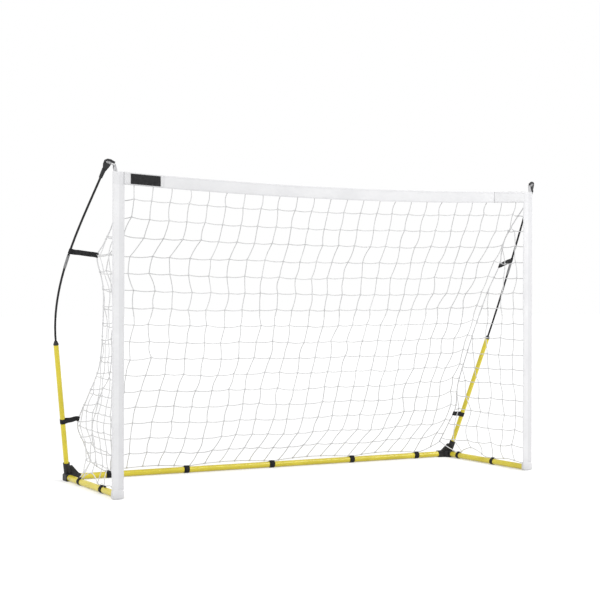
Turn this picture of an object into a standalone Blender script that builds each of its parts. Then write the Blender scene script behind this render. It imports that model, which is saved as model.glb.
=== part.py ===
"""Portable bow-style football goal.

A ground frame of steel tubes, two sprung bow poles, and a net that hangs on
white fabric bands. Units are metres, +Z is up, the mouth of the goal faces -Y.
The origin is on the floor, in the middle of the goal's outer box.
"""

import math

import bmesh
import bpy
from mathutils import Matrix, Vector

# Overall size
GOAL_WIDTH = 2.440
GOAL_HEIGHT = 1.526
GOAL_DEPTH = 0.750

# Gaps between pieces that touch
CLEAR = 0.0003
BUTTON_CLEAR = 0.0004

# Ground tubes
TUBE_R = 0.0160
TUBE_WALL = 0.0015
SIDE_BAR_INSET = 0.039
REAR_MIDDLE_LENGTH = 0.760
SIDE_BAR_FRONT = 0.0030
PLUG_FLANGE = 0.0030
PLUG_INSERT = 0.020

# Hook-and-loop straps round the ground tubes
STRAP_THICK = 0.0015
STRAP_WIDTH = 0.025
STRAP_FLOOR_GAP = 0.0002
CORD_PAST_STRAP = 0.008
REAR_STRAP_SHARES = (-0.783, -0.422, 0.0, 0.422, 0.783)
SIDE_STRAP_SHARES = {-1: (0.716, 0.296), 1: (0.844, 0.398)}

# Corner hubs
HUB_REAR_REACH = 0.071
HUB_SIDE_REACH = 0.050
HUB_HALF = 0.0200
HUB_HEIGHT = 0.0370
HUB_ROUND = 0.004
SPIGOT_LENGTH = 0.060
SPIGOT_ROOT = 0.010
SPIGOT_FLOOR = 0.005
SPIGOT_WALL = 0.0018
SOCKET_TOP = 0.095
SOCKET_FLOOR = 0.040
SOCKET_WALL = 0.0032
SOCKET_FLARE = 0.0015
GUSSET_THICK = 0.012
GUSSET_HEIGHT = 0.060
GUSSET_TOE = 0.006
GUSSET_PAST_SOCKET = 0.004

# Snap buttons and their leaf springs
BUTTON_R = 0.0037
BUTTON_TRAVEL = 0.0040
BUTTON_SINK = 0.0005
BUTTON_FLANGE_R = 0.0050
BUTTON_FLANGE_THICK = 0.0010
BUTTON_INSET = 0.030
SPRING_THICK = 0.0008
SPRING_WIDTH = 0.008
SPRING_LENGTH = 0.028
COUPLER_LENGTH = 0.120

# Uprights: straight tube, then a bowed pole
FOOT_FORWARD = 0.012
LEAN_OUT = 0.190
LEAN_FORWARD = 0.295
UPRIGHT_R = 0.0125
UPRIGHT_WALL = 0.0012
UPRIGHT_SHARE = 0.462
COLLAR_HEIGHT = 0.018
COLLAR_INSERT = 0.050
COLLAR_LIP = 0.0010
POLE_R = 0.0055
BOW_LOWER_SHARE = 0.1966
BOW_UPPER_SHARE = 0.1940
TIP_OUT = 0.034
TIP_BACK = 0.066
TIP_DROP = 0.026
TIP_DIRECTION = Vector((-0.16, -0.59, 0.79)).normalized()
FERRULE_SHARE = 0.7097
FERRULE_RISE = 0.061
FERRULE_WALL = 0.0012

# Pole caps
CAP_DEPTH = 0.040
CAP_LEAN_OUT = 0.14
CAP_LEAN_FORWARD = 0.25
CAP_WALL_LOW = 0.0028
CAP_WALL_HIGH = 0.0045
CAP_THICK = 0.014
CAP_ROUND = 0.0035
CAP_BOOT_OVERLAP = 0.008
HOOK_WAY_IN = 0.86
HOOK_WAY_FORWARD = 0.51

# Fabric bands, foot pockets and patches
BAND_WIDTH = 0.060
BAND_THICK = 0.0040
CROSSBAR_SAG = 0.027
PATCH_LENGTH = 0.196
PATCH_THICK = 0.0010
PATCH_MARGIN = 0.0010
LABEL_LENGTH = 0.150
LABEL_HEIGHT = 0.048
LABEL_INSET = 0.034
LABEL_THICK = 0.0008
POCKET_FRONT = 0.0100
POCKET_BACK = 0.0100
POCKET_HEIGHT = 0.0460
POCKET_ROUND = 0.0060

# Net, its cords and the straps that tie it to the poles
TWINE = 0.0030
NET_BAY_COLUMNS = 4
NET_ROWS = 12
NET_SAG = 0.140
NET_SAG_FULL = 0.90
NET_SAG_POWER = 1.5
NET_LAP = 0.006
NET_OVER_STRAP = 0.0022
SIDE_NET_FIRST_ROW = 1
SIDE_NET_COLUMNS = 4
SIDE_NET_BOTTOM = 0.062
NET_TO_CORD = 1.15
SIDE_NET_TO_CORD = 1.3
EDGE_CORD_R = 0.0030
FOOT_CORD_R = 0.0025
FOOT_CORD_BEND = 0.006
NET_CORNER_INBOARD = 0.142
NET_CORNER_FORWARD = 0.070
NET_CORNER_HEIGHT = 0.100
CORNER_LIFT = 2.2
POLE_STRAP_WIDTH = 0.025
POLE_STRAP_THICK = 0.0030
POLE_STRAP_SHARES = {-1: (0.7405, 0.2084), 1: (0.7356, 0.1743)}

# Corner tab
TAB_TOP_WIDTH = 0.010
TAB_FOOT_WIDTH = 0.034
TAB_THICK = 0.0020
TAB_HOOK_REACH = 0.0540
TAB_HOOK_RISE = 0.0330
TAB_FOOT_OUT = 0.004
TAB_FOOT_GAP = 0.0005

# Values that follow from the ones above
HALF_WIDTH = GOAL_WIDTH / 2
REAR_STRAP_X = [HALF_WIDTH * share for share in REAR_STRAP_SHARES]
SIDE_STRAP_Y = {
    side: [GOAL_DEPTH * share for share in shares]
    for side, shares in SIDE_STRAP_SHARES.items()
}
UPRIGHT_TOP = GOAL_HEIGHT * UPRIGHT_SHARE
FERRULE_LOW = GOAL_HEIGHT * FERRULE_SHARE
FERRULE_HIGH = FERRULE_LOW + FERRULE_RISE
POLE_STRAP_CORD_Z = {
    side: [GOAL_HEIGHT * share for share in shares]
    for side, shares in POLE_STRAP_SHARES.items()
}
SIDE_X = HALF_WIDTH - SIDE_BAR_INSET
BASE_Z = TUBE_R + CLEAR + STRAP_THICK + STRAP_FLOOR_GAP
POST_X = HALF_WIDTH - BAND_WIDTH / 2
POST_INNER_X = HALF_WIDTH - BAND_WIDTH
CROSSBAR_END_X = POST_INNER_X - CLEAR
SPIGOT_R = TUBE_R - TUBE_WALL - CLEAR
SPIGOT_BORE = SPIGOT_R - SPIGOT_WALL
REAR_TUBE_END = SIDE_X - HUB_REAR_REACH - CLEAR
SIDE_TUBE_END = GOAL_DEPTH - HUB_SIDE_REACH - CLEAR
NET_BACK_Y = BAND_THICK / 2 + CLEAR + TWINE / 2
SIDE_NET_FRONT_Y = BAND_THICK / 2 + CLEAR + TWINE * 0.2
CORD_ON_TUBE = TUBE_R + CLEAR + FOOT_CORD_R
NET_ON_CORD = FOOT_CORD_R + CLEAR + TWINE / 2
CORD_GAP = EDGE_CORD_R + CLEAR + TWINE / 2
MIDDLE_Y = (GOAL_DEPTH + HUB_HALF - POCKET_FRONT) / 2
UP = Vector((0, 0, 1))

# The rear edge of the net, from the top corner down: distance in from the
# outer face of the post, share of the depth and share of the height
EDGE_ROUTE = (
    (0.035, 0.0075, 0.9585),
    (0.059, 0.195, 0.852),
    (0.041, 0.295, 0.786),
    (0.022, 0.351, 0.7405),
    (0.068, 0.405, 0.650),
    (0.096, 0.509, 0.524),
    (0.110, 0.624, 0.393),
    (0.088, 0.767, 0.288),
    (0.058, 0.855, 0.1966),
    (0.098, 0.881, 0.131),
)


def clear_scene():
    for obj in list(bpy.data.objects):
        bpy.data.objects.remove(obj, do_unlink=True)


clear_scene()


def collection(name):
    made = bpy.data.collections.new(name)
    bpy.context.scene.collection.children.link(made)
    return made


PARTS = collection("portable_goal")
CUTTERS = collection("goal_cutters")


def material(name, colour, roughness, metallic=0.0):
    made = bpy.data.materials.new(name)
    made.use_nodes = True
    shader = made.node_tree.nodes["Principled BSDF"]
    shader.inputs["Base Color"].default_value = (*colour, 1.0)
    shader.inputs["Roughness"].default_value = roughness
    shader.inputs["Metallic"].default_value = metallic
    return made


YELLOW = material("yellow_paint", (0.80, 0.70, 0.06), 0.35)
BLACK_PLASTIC = material("black_plastic", (0.03, 0.03, 0.035), 0.45)
FIBREGLASS = material("fibreglass", (0.02, 0.02, 0.022), 0.30)
ALUMINIUM = material("aluminium", (0.55, 0.55, 0.57), 0.35, 1.0)
STEEL = material("spring_steel", (0.50, 0.50, 0.50), 0.30, 1.0)
WHITE_FABRIC = material("white_fabric", (0.86, 0.86, 0.87), 0.80)
NET_WHITE = material("net_twine", (0.88, 0.88, 0.86), 0.75)
STRAP_BLACK = material("strap_black", (0.025, 0.025, 0.025), 0.85)
LABEL_BLACK = material("label_cloth", (0.03, 0.03, 0.03), 0.7)


def empty(name, location, parent=None):
    made = bpy.data.objects.new(name, None)
    made.location = location
    made.parent = parent
    PARTS.objects.link(made)
    return made


GOAL_FRAME = empty("goal_frame", (0, -MIDDLE_Y, 0))


def facing(origin, direction, across=None):
    """A matrix whose local Z runs along direction and local X near across."""
    z = Vector(direction).normalized()
    guide = Vector(across) if across is not None else Vector((1, 0, 0))
    if abs(z.dot(guide.normalized())) > 0.99:
        guide = Vector((0, 1, 0))
    y = z.cross(guide).normalized()
    x = y.cross(z)
    turn = Matrix((x, y, z)).transposed().to_4x4()
    return Matrix.Translation(Vector(origin)) @ turn


def finish(obj, look, matrix=None, parent=None):
    """Gives a piece its place, material and smooth round faces."""
    if obj.name not in PARTS.objects:
        PARTS.objects.link(obj)
    obj.parent = parent or GOAL_FRAME
    if matrix is not None:
        obj.matrix_local = matrix
    obj.data.materials.clear()
    obj.data.materials.append(look)
    if obj.type == "MESH":
        obj.data.shade_smooth()
        obj.data.set_sharp_from_angle(angle=math.radians(35))
    return obj


def as_cutter(obj, matrix=None):
    """Hides an object that only cuts or joins another."""
    for group in list(obj.users_collection):
        group.objects.unlink(obj)
    CUTTERS.objects.link(obj)
    obj.parent = GOAL_FRAME
    if matrix is not None:
        obj.matrix_local = matrix
    obj.hide_render = True
    obj.display_type = "WIRE"
    return obj


def boolean(obj, other, operation):
    step = obj.modifiers.new(operation.lower(), "BOOLEAN")
    step.object = other
    step.operation = operation
    step.solver = "EXACT"


def mesh_object(name, shape):
    mesh = bpy.data.meshes.new(name)
    shape.to_mesh(mesh)
    shape.free()
    return bpy.data.objects.new(name, mesh)


def rod_mesh(name, length, radius, sides, end_radius=None):
    """A solid rod or cone from its local origin along local +Z."""
    shape = bmesh.new()
    bmesh.ops.create_cone(
        shape,
        cap_ends=True,
        segments=sides,
        radius1=radius,
        radius2=radius if end_radius is None else end_radius,
        depth=length,
    )
    bmesh.ops.translate(shape, verts=shape.verts, vec=(0, 0, length / 2))
    return mesh_object(name, shape)


def turned(name, profile, sides, closed=False):
    """Turns a profile of (radius, height), outer side from the top down."""
    shape = bmesh.new()
    points = [shape.verts.new((radius, 0, height)) for radius, height in profile]
    pairs = list(zip(points, points[1:]))
    if closed:
        pairs.append((points[-1], points[0]))
    for start, end in pairs:
        shape.edges.new((start, end))
    obj = mesh_object(name, shape)
    screw = obj.modifiers.new("turn", "SCREW")
    screw.steps = sides
    screw.render_steps = sides
    screw.use_merge_vertices = True
    screw.merge_threshold = 0.00001
    screw.use_smooth_shade = True
    return obj


def hollow_tube(name, length, outer, inner, sides=20):
    profile = [(outer, length), (outer, 0), (inner, 0), (inner, length)]
    return turned(name, profile, sides, closed=True)


def cord(name, points, radius, resolution=2, radii=None):
    """A round cord or rod through the given points, with closed ends."""
    curve = bpy.data.curves.new(name, "CURVE")
    curve.dimensions = "3D"
    curve.bevel_depth = radius
    curve.bevel_resolution = resolution
    curve.use_fill_caps = True
    line = curve.splines.new("POLY")
    line.points.add(len(points) - 1)
    for index, point in enumerate(points):
        line.points[index].co = (*point, 1.0)
        line.points[index].radius = radii[index] if radii else 1.0
    return bpy.data.objects.new(name, curve)


def plate(name, outlines, thickness):
    """A flat plate from closed outlines in its local XY plane."""
    curve = bpy.data.curves.new(name, "CURVE")
    curve.dimensions = "2D"
    curve.fill_mode = "BOTH"
    curve.extrude = thickness / 2
    for outline in outlines:
        line = curve.splines.new("POLY")
        line.points.add(len(outline) - 1)
        line.use_cyclic_u = True
        for point, (x, y) in zip(line.points, outline):
            point.co = (x, y, 0, 1)
    return bpy.data.objects.new(name, curve)


def to_mesh(obj, merge=0.00001):
    """Turns a curve object into a welded mesh object of the same name."""
    name = obj.name
    bpy.context.scene.collection.objects.link(obj)
    graph = bpy.context.evaluated_depsgraph_get()
    mesh = bpy.data.meshes.new_from_object(obj.evaluated_get(graph))
    bpy.data.objects.remove(obj, do_unlink=True)
    shape = bmesh.new()
    shape.from_mesh(mesh)
    bmesh.ops.remove_doubles(shape, verts=shape.verts, dist=merge)
    bmesh.ops.recalc_face_normals(shape, faces=shape.faces)
    shape.to_mesh(mesh)
    shape.free()
    mesh.name = name
    return bpy.data.objects.new(name, mesh)


def soften(obj, width, segments=2, angle=50):
    bevel = obj.modifiers.new("round", "BEVEL")
    bevel.width = width
    bevel.segments = segments
    bevel.limit_method = "ANGLE"
    bevel.angle_limit = math.radians(angle)


def box(name, low, high, round_edge=0.0):
    shape = bmesh.new()
    bmesh.ops.create_cube(shape, size=1.0)
    size = Vector(high) - Vector(low)
    bmesh.ops.scale(shape, verts=shape.verts, vec=size)
    bmesh.ops.translate(shape, verts=shape.verts, vec=(Vector(low) + Vector(high)) / 2)
    obj = mesh_object(name, shape)
    if round_edge:
        soften(obj, round_edge)
    return obj


def sheet_grid(name, rows):
    """An open surface of quads through rows of points."""
    shape = bmesh.new()
    made = [[shape.verts.new(point) for point in row] for row in rows]
    for upper, lower in zip(made, made[1:]):
        for a, b, c, d in zip(upper, upper[1:], lower[1:], lower):
            shape.faces.new((a, d, c, b))
    return mesh_object(name, shape)


def thicken(obj, thickness):
    solid = obj.modifiers.new("thickness", "SOLIDIFY")
    solid.thickness = thickness
    solid.offset = 0.0


def smooth_route(points, steps):
    """A smooth curve through the points, with steps along each stretch."""
    ends = [points[0] * 2 - points[1], *points, points[-1] * 2 - points[-2]]
    route = []
    for before, start, end, after in zip(ends, ends[1:], ends[2:], ends[3:]):
        for step in range(steps):
            t = step / steps
            bend = before * 2 - start * 5 + end * 4 - after
            twist = start * 3 - before - end * 3 + after
            route.append((start * 2 + (end - before) * t + bend * t ** 2 + twist * t ** 3) / 2)
    route.append(points[-1])
    return route


def crossbar_drop(x):
    """How far the crossbar band hangs below its ends."""
    return CROSSBAR_SAG * (1 - min(1.0, abs(x) / POST_INNER_X) ** 2)


def crossbar_foot(x):
    return GOAL_HEIGHT - crossbar_drop(x) - BAND_WIDTH


def upright_point(side, height):
    """A point on the axis of the upright's straight tube."""
    rise = height - BASE_Z
    x = SIDE_X + LEAN_OUT * rise
    y = GOAL_DEPTH - FOOT_FORWARD - LEAN_FORWARD * rise
    return Vector((side * x, y, height))


def upright_axis(side):
    return Vector((side * LEAN_OUT, -LEAN_FORWARD, 1)).normalized()


def bow_points(side, steps=24):
    """The pole's centre line from the collar's top to the cap's mouth."""
    axis = upright_axis(1)
    start = upright_point(1, UPRIGHT_TOP) + axis * COLLAR_HEIGHT
    end = Vector((HALF_WIDTH + TIP_OUT, TIP_BACK, GOAL_HEIGHT - TIP_DROP))
    low_pull = start + axis * GOAL_HEIGHT * BOW_LOWER_SHARE
    high_pull = end - TIP_DIRECTION * GOAL_HEIGHT * BOW_UPPER_SHARE
    points = []
    for step in range(steps + 1):
        t = step / steps
        s = 1 - t
        point = start * s ** 3 + low_pull * 3 * s * s * t + high_pull * 3 * s * t * t + end * t ** 3
        points.append(Vector((side * point.x, point.y, point.z)))
    return points


def point_at_height(points, height):
    """The point where a line of points passes a height, or its nearer end."""
    for a, b in zip(points, points[1:]):
        if (a.z - height) * (b.z - height) <= 0 and a.z != b.z:
            return a.lerp(b, (height - a.z) / (b.z - a.z))
    return min(points[0], points[-1], key=lambda point: abs(point.z - height))


def row_heights():
    """The heights of the net's rows at its side edges, from the top down."""
    top = crossbar_foot(POST_INNER_X) + NET_LAP
    foot = NET_CORNER_HEIGHT + NET_ON_CORD * CORNER_LIFT
    return [top + (foot - top) * row / NET_ROWS for row in range(NET_ROWS + 1)]


def edge_route(side):
    """The centre line of the cord along the rear edge of the side net."""
    chosen = []
    for inboard, back, up in EDGE_ROUTE:
        x = side * (HALF_WIDTH - inboard)
        chosen.append(Vector((x, GOAL_DEPTH * back, GOAL_HEIGHT * up)))
    corner = net_corner(side)
    knot_gap = FOOT_CORD_R + EDGE_CORD_R * 0.5 + CLEAR
    curve = smooth_route([*chosen, corner + UP * knot_gap], 4)
    return [point_at_height(curve, height) for height in row_heights()[:-1]] + [curve[-1]]


def net_corner(side):
    """Where the back net, the side net and their cords come together."""
    x = side * (HALF_WIDTH - NET_CORNER_INBOARD)
    return Vector((x, GOAL_DEPTH - NET_CORNER_FORWARD, NET_CORNER_HEIGHT))


def button_holes(tube, places):
    """Cuts a round hole through one wall of a tube at each button."""
    for index, (centre, outward) in enumerate(places):
        drill = rod_mesh(f"{tube.name}_hole_{index}", TUBE_R * 2, BUTTON_R + BUTTON_CLEAR, 12)
        as_cutter(drill, facing(centre, outward))
        boolean(tube, drill, "DIFFERENCE")


SIDE_NAMES = ((-1, "left"), (1, "right"))


def side_button_place(side):
    y = SIDE_TUBE_END - BUTTON_INSET
    return Vector((side * SIDE_X, y, BASE_Z)), Vector((side, 0, 0))


def coupler_button_place(side):
    x = side * (REAR_MIDDLE_LENGTH / 2 - BUTTON_INSET)
    return Vector((x, GOAL_DEPTH, BASE_Z)), Vector((0, 1, 0))


def build_rear_bar():
    inner = TUBE_R - TUBE_WALL
    length = REAR_MIDDLE_LENGTH - CLEAR
    middle = hollow_tube("rear_bar_middle", length, TUBE_R, inner)
    start = (-length / 2, GOAL_DEPTH, BASE_Z)
    finish(middle, YELLOW, facing(start, (1, 0, 0), UP))
    button_holes(middle, [coupler_button_place(side) for side, _ in SIDE_NAMES])
    outer_length = REAR_TUBE_END - REAR_MIDDLE_LENGTH / 2 - CLEAR / 2
    for side, name in SIDE_NAMES:
        tube = hollow_tube(f"rear_bar_{name}", outer_length, TUBE_R, inner)
        start = (side * REAR_TUBE_END, GOAL_DEPTH, BASE_Z)
        finish(tube, YELLOW, facing(start, (-side, 0, 0), UP))
        coupler = hollow_tube(f"rear_coupler_{name}", COUPLER_LENGTH, SPIGOT_R, SPIGOT_BORE)
        start = (side * REAR_MIDDLE_LENGTH / 2 - COUPLER_LENGTH / 2, GOAL_DEPTH, BASE_Z)
        finish(coupler, STEEL, facing(start, (1, 0, 0), UP))
        button_holes(coupler, [coupler_button_place(side)])


def build_side_bars():
    inner = TUBE_R - TUBE_WALL
    start_y = SIDE_BAR_FRONT + PLUG_FLANGE + CLEAR
    for side, name in SIDE_NAMES:
        tube = hollow_tube(f"side_bar_{name}", SIDE_TUBE_END - start_y, TUBE_R, inner)
        start = (side * SIDE_X, start_y, BASE_Z)
        finish(tube, YELLOW, facing(start, (0, 1, 0), UP))
        button_holes(tube, [side_button_place(side)])
        profile = [
            (0, PLUG_INSERT + PLUG_FLANGE),
            (SPIGOT_R, PLUG_INSERT + PLUG_FLANGE),
            (SPIGOT_R, PLUG_FLANGE),
            (TUBE_R, PLUG_FLANGE),
            (TUBE_R, 0),
            (0, 0),
        ]
        plug = turned(f"side_bar_plug_{name}", profile, 20)
        start = (side * SIDE_X, SIDE_BAR_FRONT, BASE_Z)
        finish(plug, BLACK_PLASTIC, facing(start, (0, 1, 0), UP))


def spigot(hub, name, start, direction):
    """Joins a hollow spigot to a hub, pointing along direction."""
    body = rod_mesh(f"{name}_body", SPIGOT_LENGTH + SPIGOT_ROOT, SPIGOT_R, 20)
    as_cutter(body, facing(Vector(start) - Vector(direction) * SPIGOT_ROOT, direction, UP))
    boolean(hub, body, "UNION")
    bore = rod_mesh(f"{name}_bore", SPIGOT_LENGTH, SPIGOT_BORE, 20)
    as_cutter(bore, facing(Vector(start) + Vector(direction) * SPIGOT_FLOOR, direction, UP))
    boolean(hub, bore, "DIFFERENCE")


def build_hubs():
    for side, name in SIDE_NAMES:
        inner_x = SIDE_X - HUB_REAR_REACH
        outer_x = SIDE_X + HUB_HALF
        front_y = GOAL_DEPTH - HUB_SIDE_REACH
        back_y = GOAL_DEPTH + HUB_HALF
        corner_cut = HUB_HALF * 0.6
        outline = [
            (inner_x, back_y),
            (inner_x, GOAL_DEPTH - HUB_HALF),
            (SIDE_X - HUB_HALF - corner_cut, GOAL_DEPTH - HUB_HALF),
            (SIDE_X - HUB_HALF, GOAL_DEPTH - HUB_HALF - corner_cut),
            (SIDE_X - HUB_HALF, front_y),
            (outer_x, front_y),
            (outer_x, back_y - corner_cut),
            (outer_x - corner_cut, back_y),
        ]
        outline = [(side * x, y) for x, y in outline]
        hub = to_mesh(plate(f"corner_hub_{name}", [outline], HUB_HEIGHT))
        soften(hub, HUB_ROUND, 1)
        finish(hub, BLACK_PLASTIC, Matrix.Translation((0, 0, HUB_HEIGHT / 2)))

        axis = upright_axis(side)
        low = upright_point(side, HUB_HEIGHT * 0.6)
        top = upright_point(side, SOCKET_TOP)
        socket_r = UPRIGHT_R + CLEAR + SOCKET_WALL
        socket = rod_mesh(f"hub_socket_{name}", (top - low).length, socket_r, 20, socket_r + SOCKET_FLARE)
        as_cutter(socket, facing(low, axis))
        boolean(hub, socket, "UNION")

        reach = HUB_REAR_REACH + 0.001
        slope = [
            (-socket_r * 0.7, 0.0),
            (reach - 0.004, 0.0),
            (reach - 0.002, GUSSET_TOE),
            (socket_r + GUSSET_PAST_SOCKET, GUSSET_HEIGHT),
            (-socket_r * 0.7, GUSSET_HEIGHT),
        ]
        inward = Vector((-side, 0, 0))
        web_normal = inward.cross(axis).normalized()
        web_up = web_normal.cross(inward)
        place = Matrix((inward, web_up, web_normal)).transposed().to_4x4()
        root = upright_point(side, HUB_HEIGHT * 0.6)
        gusset = to_mesh(plate(f"hub_gusset_{name}", [slope], GUSSET_THICK))
        as_cutter(gusset, Matrix.Translation(root) @ place)
        boolean(hub, gusset, "UNION")

        spigot(hub, f"rear_spigot_{name}", (side * inner_x, GOAL_DEPTH, BASE_Z), (-side, 0, 0))
        spigot(hub, f"side_spigot_{name}", (side * SIDE_X, front_y, BASE_Z), (0, -1, 0))
        bore = rod_mesh(f"hub_bore_{name}", SOCKET_TOP, UPRIGHT_R + CLEAR, 20)
        as_cutter(bore, facing(upright_point(side, SOCKET_FLOOR), axis))
        boolean(hub, bore, "DIFFERENCE")
        button_holes(hub, [side_button_place(side)])


def build_snap_button(name, place, along):
    """A snap button with its leaf spring, set in a tube of the ground frame."""
    centre, outward = place
    head_top = TUBE_R + BUTTON_TRAVEL - BUTTON_SINK
    flange_top = math.sqrt(SPIGOT_BORE ** 2 - BUTTON_FLANGE_R ** 2) - CLEAR
    flange_low = flange_top - BUTTON_FLANGE_THICK
    dome = [
        (0, head_top),
        (BUTTON_R * 0.55, head_top - 0.0004),
        (BUTTON_R * 0.9, head_top - 0.0016),
        (BUTTON_R, head_top - 0.0028),
        (BUTTON_R, flange_top),
        (BUTTON_FLANGE_R, flange_top),
        (BUTTON_FLANGE_R, flange_low),
        (0, flange_low),
    ]
    profile = [(radius, height - flange_low) for radius, height in dome]
    button = turned(f"snap_button_{name}", profile, 12)
    seat = Vector(centre) + Vector(outward) * flange_low
    finish(button, STEEL, facing(seat, outward))

    top = flange_low - CLEAR
    foot = -(SPIGOT_BORE - 0.0012)
    arch = []
    for step in range(7):
        angle = math.radians(90 - 30 * step)
        arch.append(angle)
    middle = (top + foot) / 2
    half = (top - foot) / 2

    def leaf(offset):
        reach = half - offset
        bend = []
        for angle in arch:
            x = SPRING_LENGTH + reach * math.cos(angle) * 0.5
            bend.append((x, middle + reach * math.sin(angle)))
        return [(-0.004, top - offset), *bend, (-0.004, foot + offset)]

    outer = leaf(0.0)
    inner = leaf(SPRING_THICK)
    spring = plate(f"snap_spring_{name}", [outer + inner[::-1]], SPRING_WIDTH)
    normal = Vector(along).cross(Vector(outward))
    turn = Matrix((Vector(along), Vector(outward), normal)).transposed().to_4x4()
    spring = to_mesh(spring)
    finish(spring, STEEL, Matrix.Translation(Vector(centre)) @ turn)


def build_snap_buttons():
    for side, name in SIDE_NAMES:
        build_snap_button(f"side_{name}", side_button_place(side), Vector((0, -1, 0)))
        build_snap_button(f"rear_{name}", coupler_button_place(side), Vector((side, 0, 0)))


def split_at_ferrule(points):
    """The two halves of the pole, straight inside the ferrule."""
    low = point_at_height(points, FERRULE_LOW)
    high = point_at_height(points, FERRULE_HIGH)
    middle = (low + high) / 2
    half_gap = (high - low).normalized() * (CLEAR / 2)
    below = [point for point in points if point.z < FERRULE_LOW - POLE_R]
    above = [point for point in points if point.z > FERRULE_HIGH + POLE_R]
    return [*below, low, middle - half_gap], [middle + half_gap, high, *above], low, high


def build_uprights():
    for side, name in SIDE_NAMES:
        axis = upright_axis(side)
        bottom = upright_point(side, SOCKET_FLOOR) + axis * CLEAR
        top = upright_point(side, UPRIGHT_TOP)
        slider = empty(f"upright_{name}_slide", bottom, GOAL_FRAME)
        shift = Matrix.Translation(-bottom)

        inner = UPRIGHT_R - UPRIGHT_WALL
        tube = hollow_tube(f"upright_tube_{name}", (top - bottom).length, UPRIGHT_R, inner)
        finish(tube, YELLOW, shift @ facing(bottom, axis), slider)

        lip = UPRIGHT_R + COLLAR_LIP
        insert_r = inner - CLEAR
        bore = POLE_R + CLEAR
        profile = [
            (POLE_R + 0.0030, COLLAR_HEIGHT),
            (lip - 0.0010, COLLAR_HEIGHT * 0.35),
            (lip, COLLAR_HEIGHT * 0.25),
            (lip, CLEAR),
            (insert_r, CLEAR),
            (insert_r, -COLLAR_INSERT),
            (bore, -COLLAR_INSERT),
            (bore, COLLAR_HEIGHT),
        ]
        collar = turned(f"pole_collar_{name}", profile, 20, closed=True)
        finish(collar, BLACK_PLASTIC, shift @ facing(top, axis), slider)

        bow = bow_points(side)
        tail = top - axis * COLLAR_INSERT
        tip_way = Vector((side * TIP_DIRECTION.x, TIP_DIRECTION.y, TIP_DIRECTION.z))
        head = bow[-1] + tip_way * (CAP_DEPTH - CLEAR)
        lower, upper, low, high = split_at_ferrule(bow)
        for label, points in (("lower", [tail, *lower]), ("upper", [*upper, head])):
            pole = cord(f"pole_{label}_{name}", points, POLE_R)
            finish(pole, FIBREGLASS, shift, slider)

        ferrule_inner = POLE_R + CLEAR
        ferrule_length = (high - low).length
        ferrule = hollow_tube(
            f"pole_ferrule_{name}",
            ferrule_length,
            ferrule_inner + FERRULE_WALL,
            ferrule_inner,
            16,
        )
        finish(ferrule, ALUMINIUM, shift @ facing(low, high - low), slider)
        build_cap(name, side, bow[-1], tip_way, slider, shift)


def cap_frame(side, mouth, tip_way):
    """Local X runs inward and forward in the hook's plane, local Y leans as it rises."""
    inward = Vector((-side * HOOK_WAY_IN, -HOOK_WAY_FORWARD, 0)).normalized()
    normal = inward.cross(Vector((side * CAP_LEAN_OUT, -CAP_LEAN_FORWARD, 1))).normalized()
    turn = Matrix((inward, normal.cross(inward), normal)).transposed().to_4x4()
    return Matrix.Translation(mouth + tip_way * CAP_DEPTH) @ turn


def build_cap(name, side, mouth, tip_way, slider, shift):
    """The moulded cap: a boot over the pole's end and a hook above it."""
    hook = [
        (-0.0060, 0.0020),
        (-0.0027, 0.0160),
        (-0.0004, 0.0339),
        (0.0070, 0.0500),
        (0.0218, 0.0550),
        (0.0367, 0.0515),
        (0.0582, 0.0383),
        (0.0523, 0.0339),
        (0.0440, 0.0365),
        (0.0307, 0.0450),
        (0.0189, 0.0455),
        (0.0125, 0.0420),
        (0.0129, 0.0375),
        (0.0359, 0.0272),
        (0.0307, 0.0190),
        (0.0150, 0.0010),
        (0.0060, -0.0080),
    ]
    place = cap_frame(side, mouth, tip_way)
    cap = to_mesh(plate(f"pole_cap_{name}", [hook], CAP_THICK))
    soften(cap, CAP_ROUND, 1)
    finish(cap, BLACK_PLASTIC, shift @ place, slider)

    low_r = POLE_R + CLEAR + CAP_WALL_LOW
    high_r = POLE_R + CLEAR + CAP_WALL_HIGH
    boot = rod_mesh(f"cap_boot_{name}", CAP_DEPTH + CAP_BOOT_OVERLAP, low_r, 16, high_r)
    as_cutter(boot, facing(mouth, tip_way))
    boolean(cap, boot, "UNION")
    bore = rod_mesh(f"cap_bore_{name}", CAP_DEPTH * 2, POLE_R + CLEAR, 16)
    as_cutter(bore, facing(mouth - tip_way * CAP_DEPTH, tip_way))
    boolean(cap, bore, "DIFFERENCE")


def belt_outline(big_r, small_r, distance, big_steps, small_steps):
    """A closed line drawn tight round two circles, one above the other."""
    tilt = math.acos((big_r - small_r) / distance)
    points = []
    for step in range(big_steps + 1):
        angle = tilt + (2 * math.pi - 2 * tilt) * step / big_steps
        points.append((big_r * math.sin(angle), big_r * math.cos(angle)))
    for step in range(small_steps + 1):
        angle = -tilt + 2 * tilt * step / small_steps
        points.append((small_r * math.sin(angle), distance + small_r * math.cos(angle)))
    return points


def ground_strap(name, centre, along):
    """A strap loop round a ground tube and the cord that lies on it."""
    tube_r = TUBE_R + CLEAR
    cord_r = FOOT_CORD_R + CLEAR
    inner = belt_outline(tube_r, cord_r, CORD_ON_TUBE, 16, 4)
    outer = belt_outline(tube_r + STRAP_THICK, cord_r + STRAP_THICK, CORD_ON_TUBE, 16, 4)
    strap = to_mesh(plate(name, [outer, inner], STRAP_WIDTH))
    along = Vector(along)
    turn = Matrix((UP.cross(along), UP, along)).transposed().to_4x4()
    finish(strap, STRAP_BLACK, Matrix.Translation(Vector(centre)) @ turn)


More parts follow.
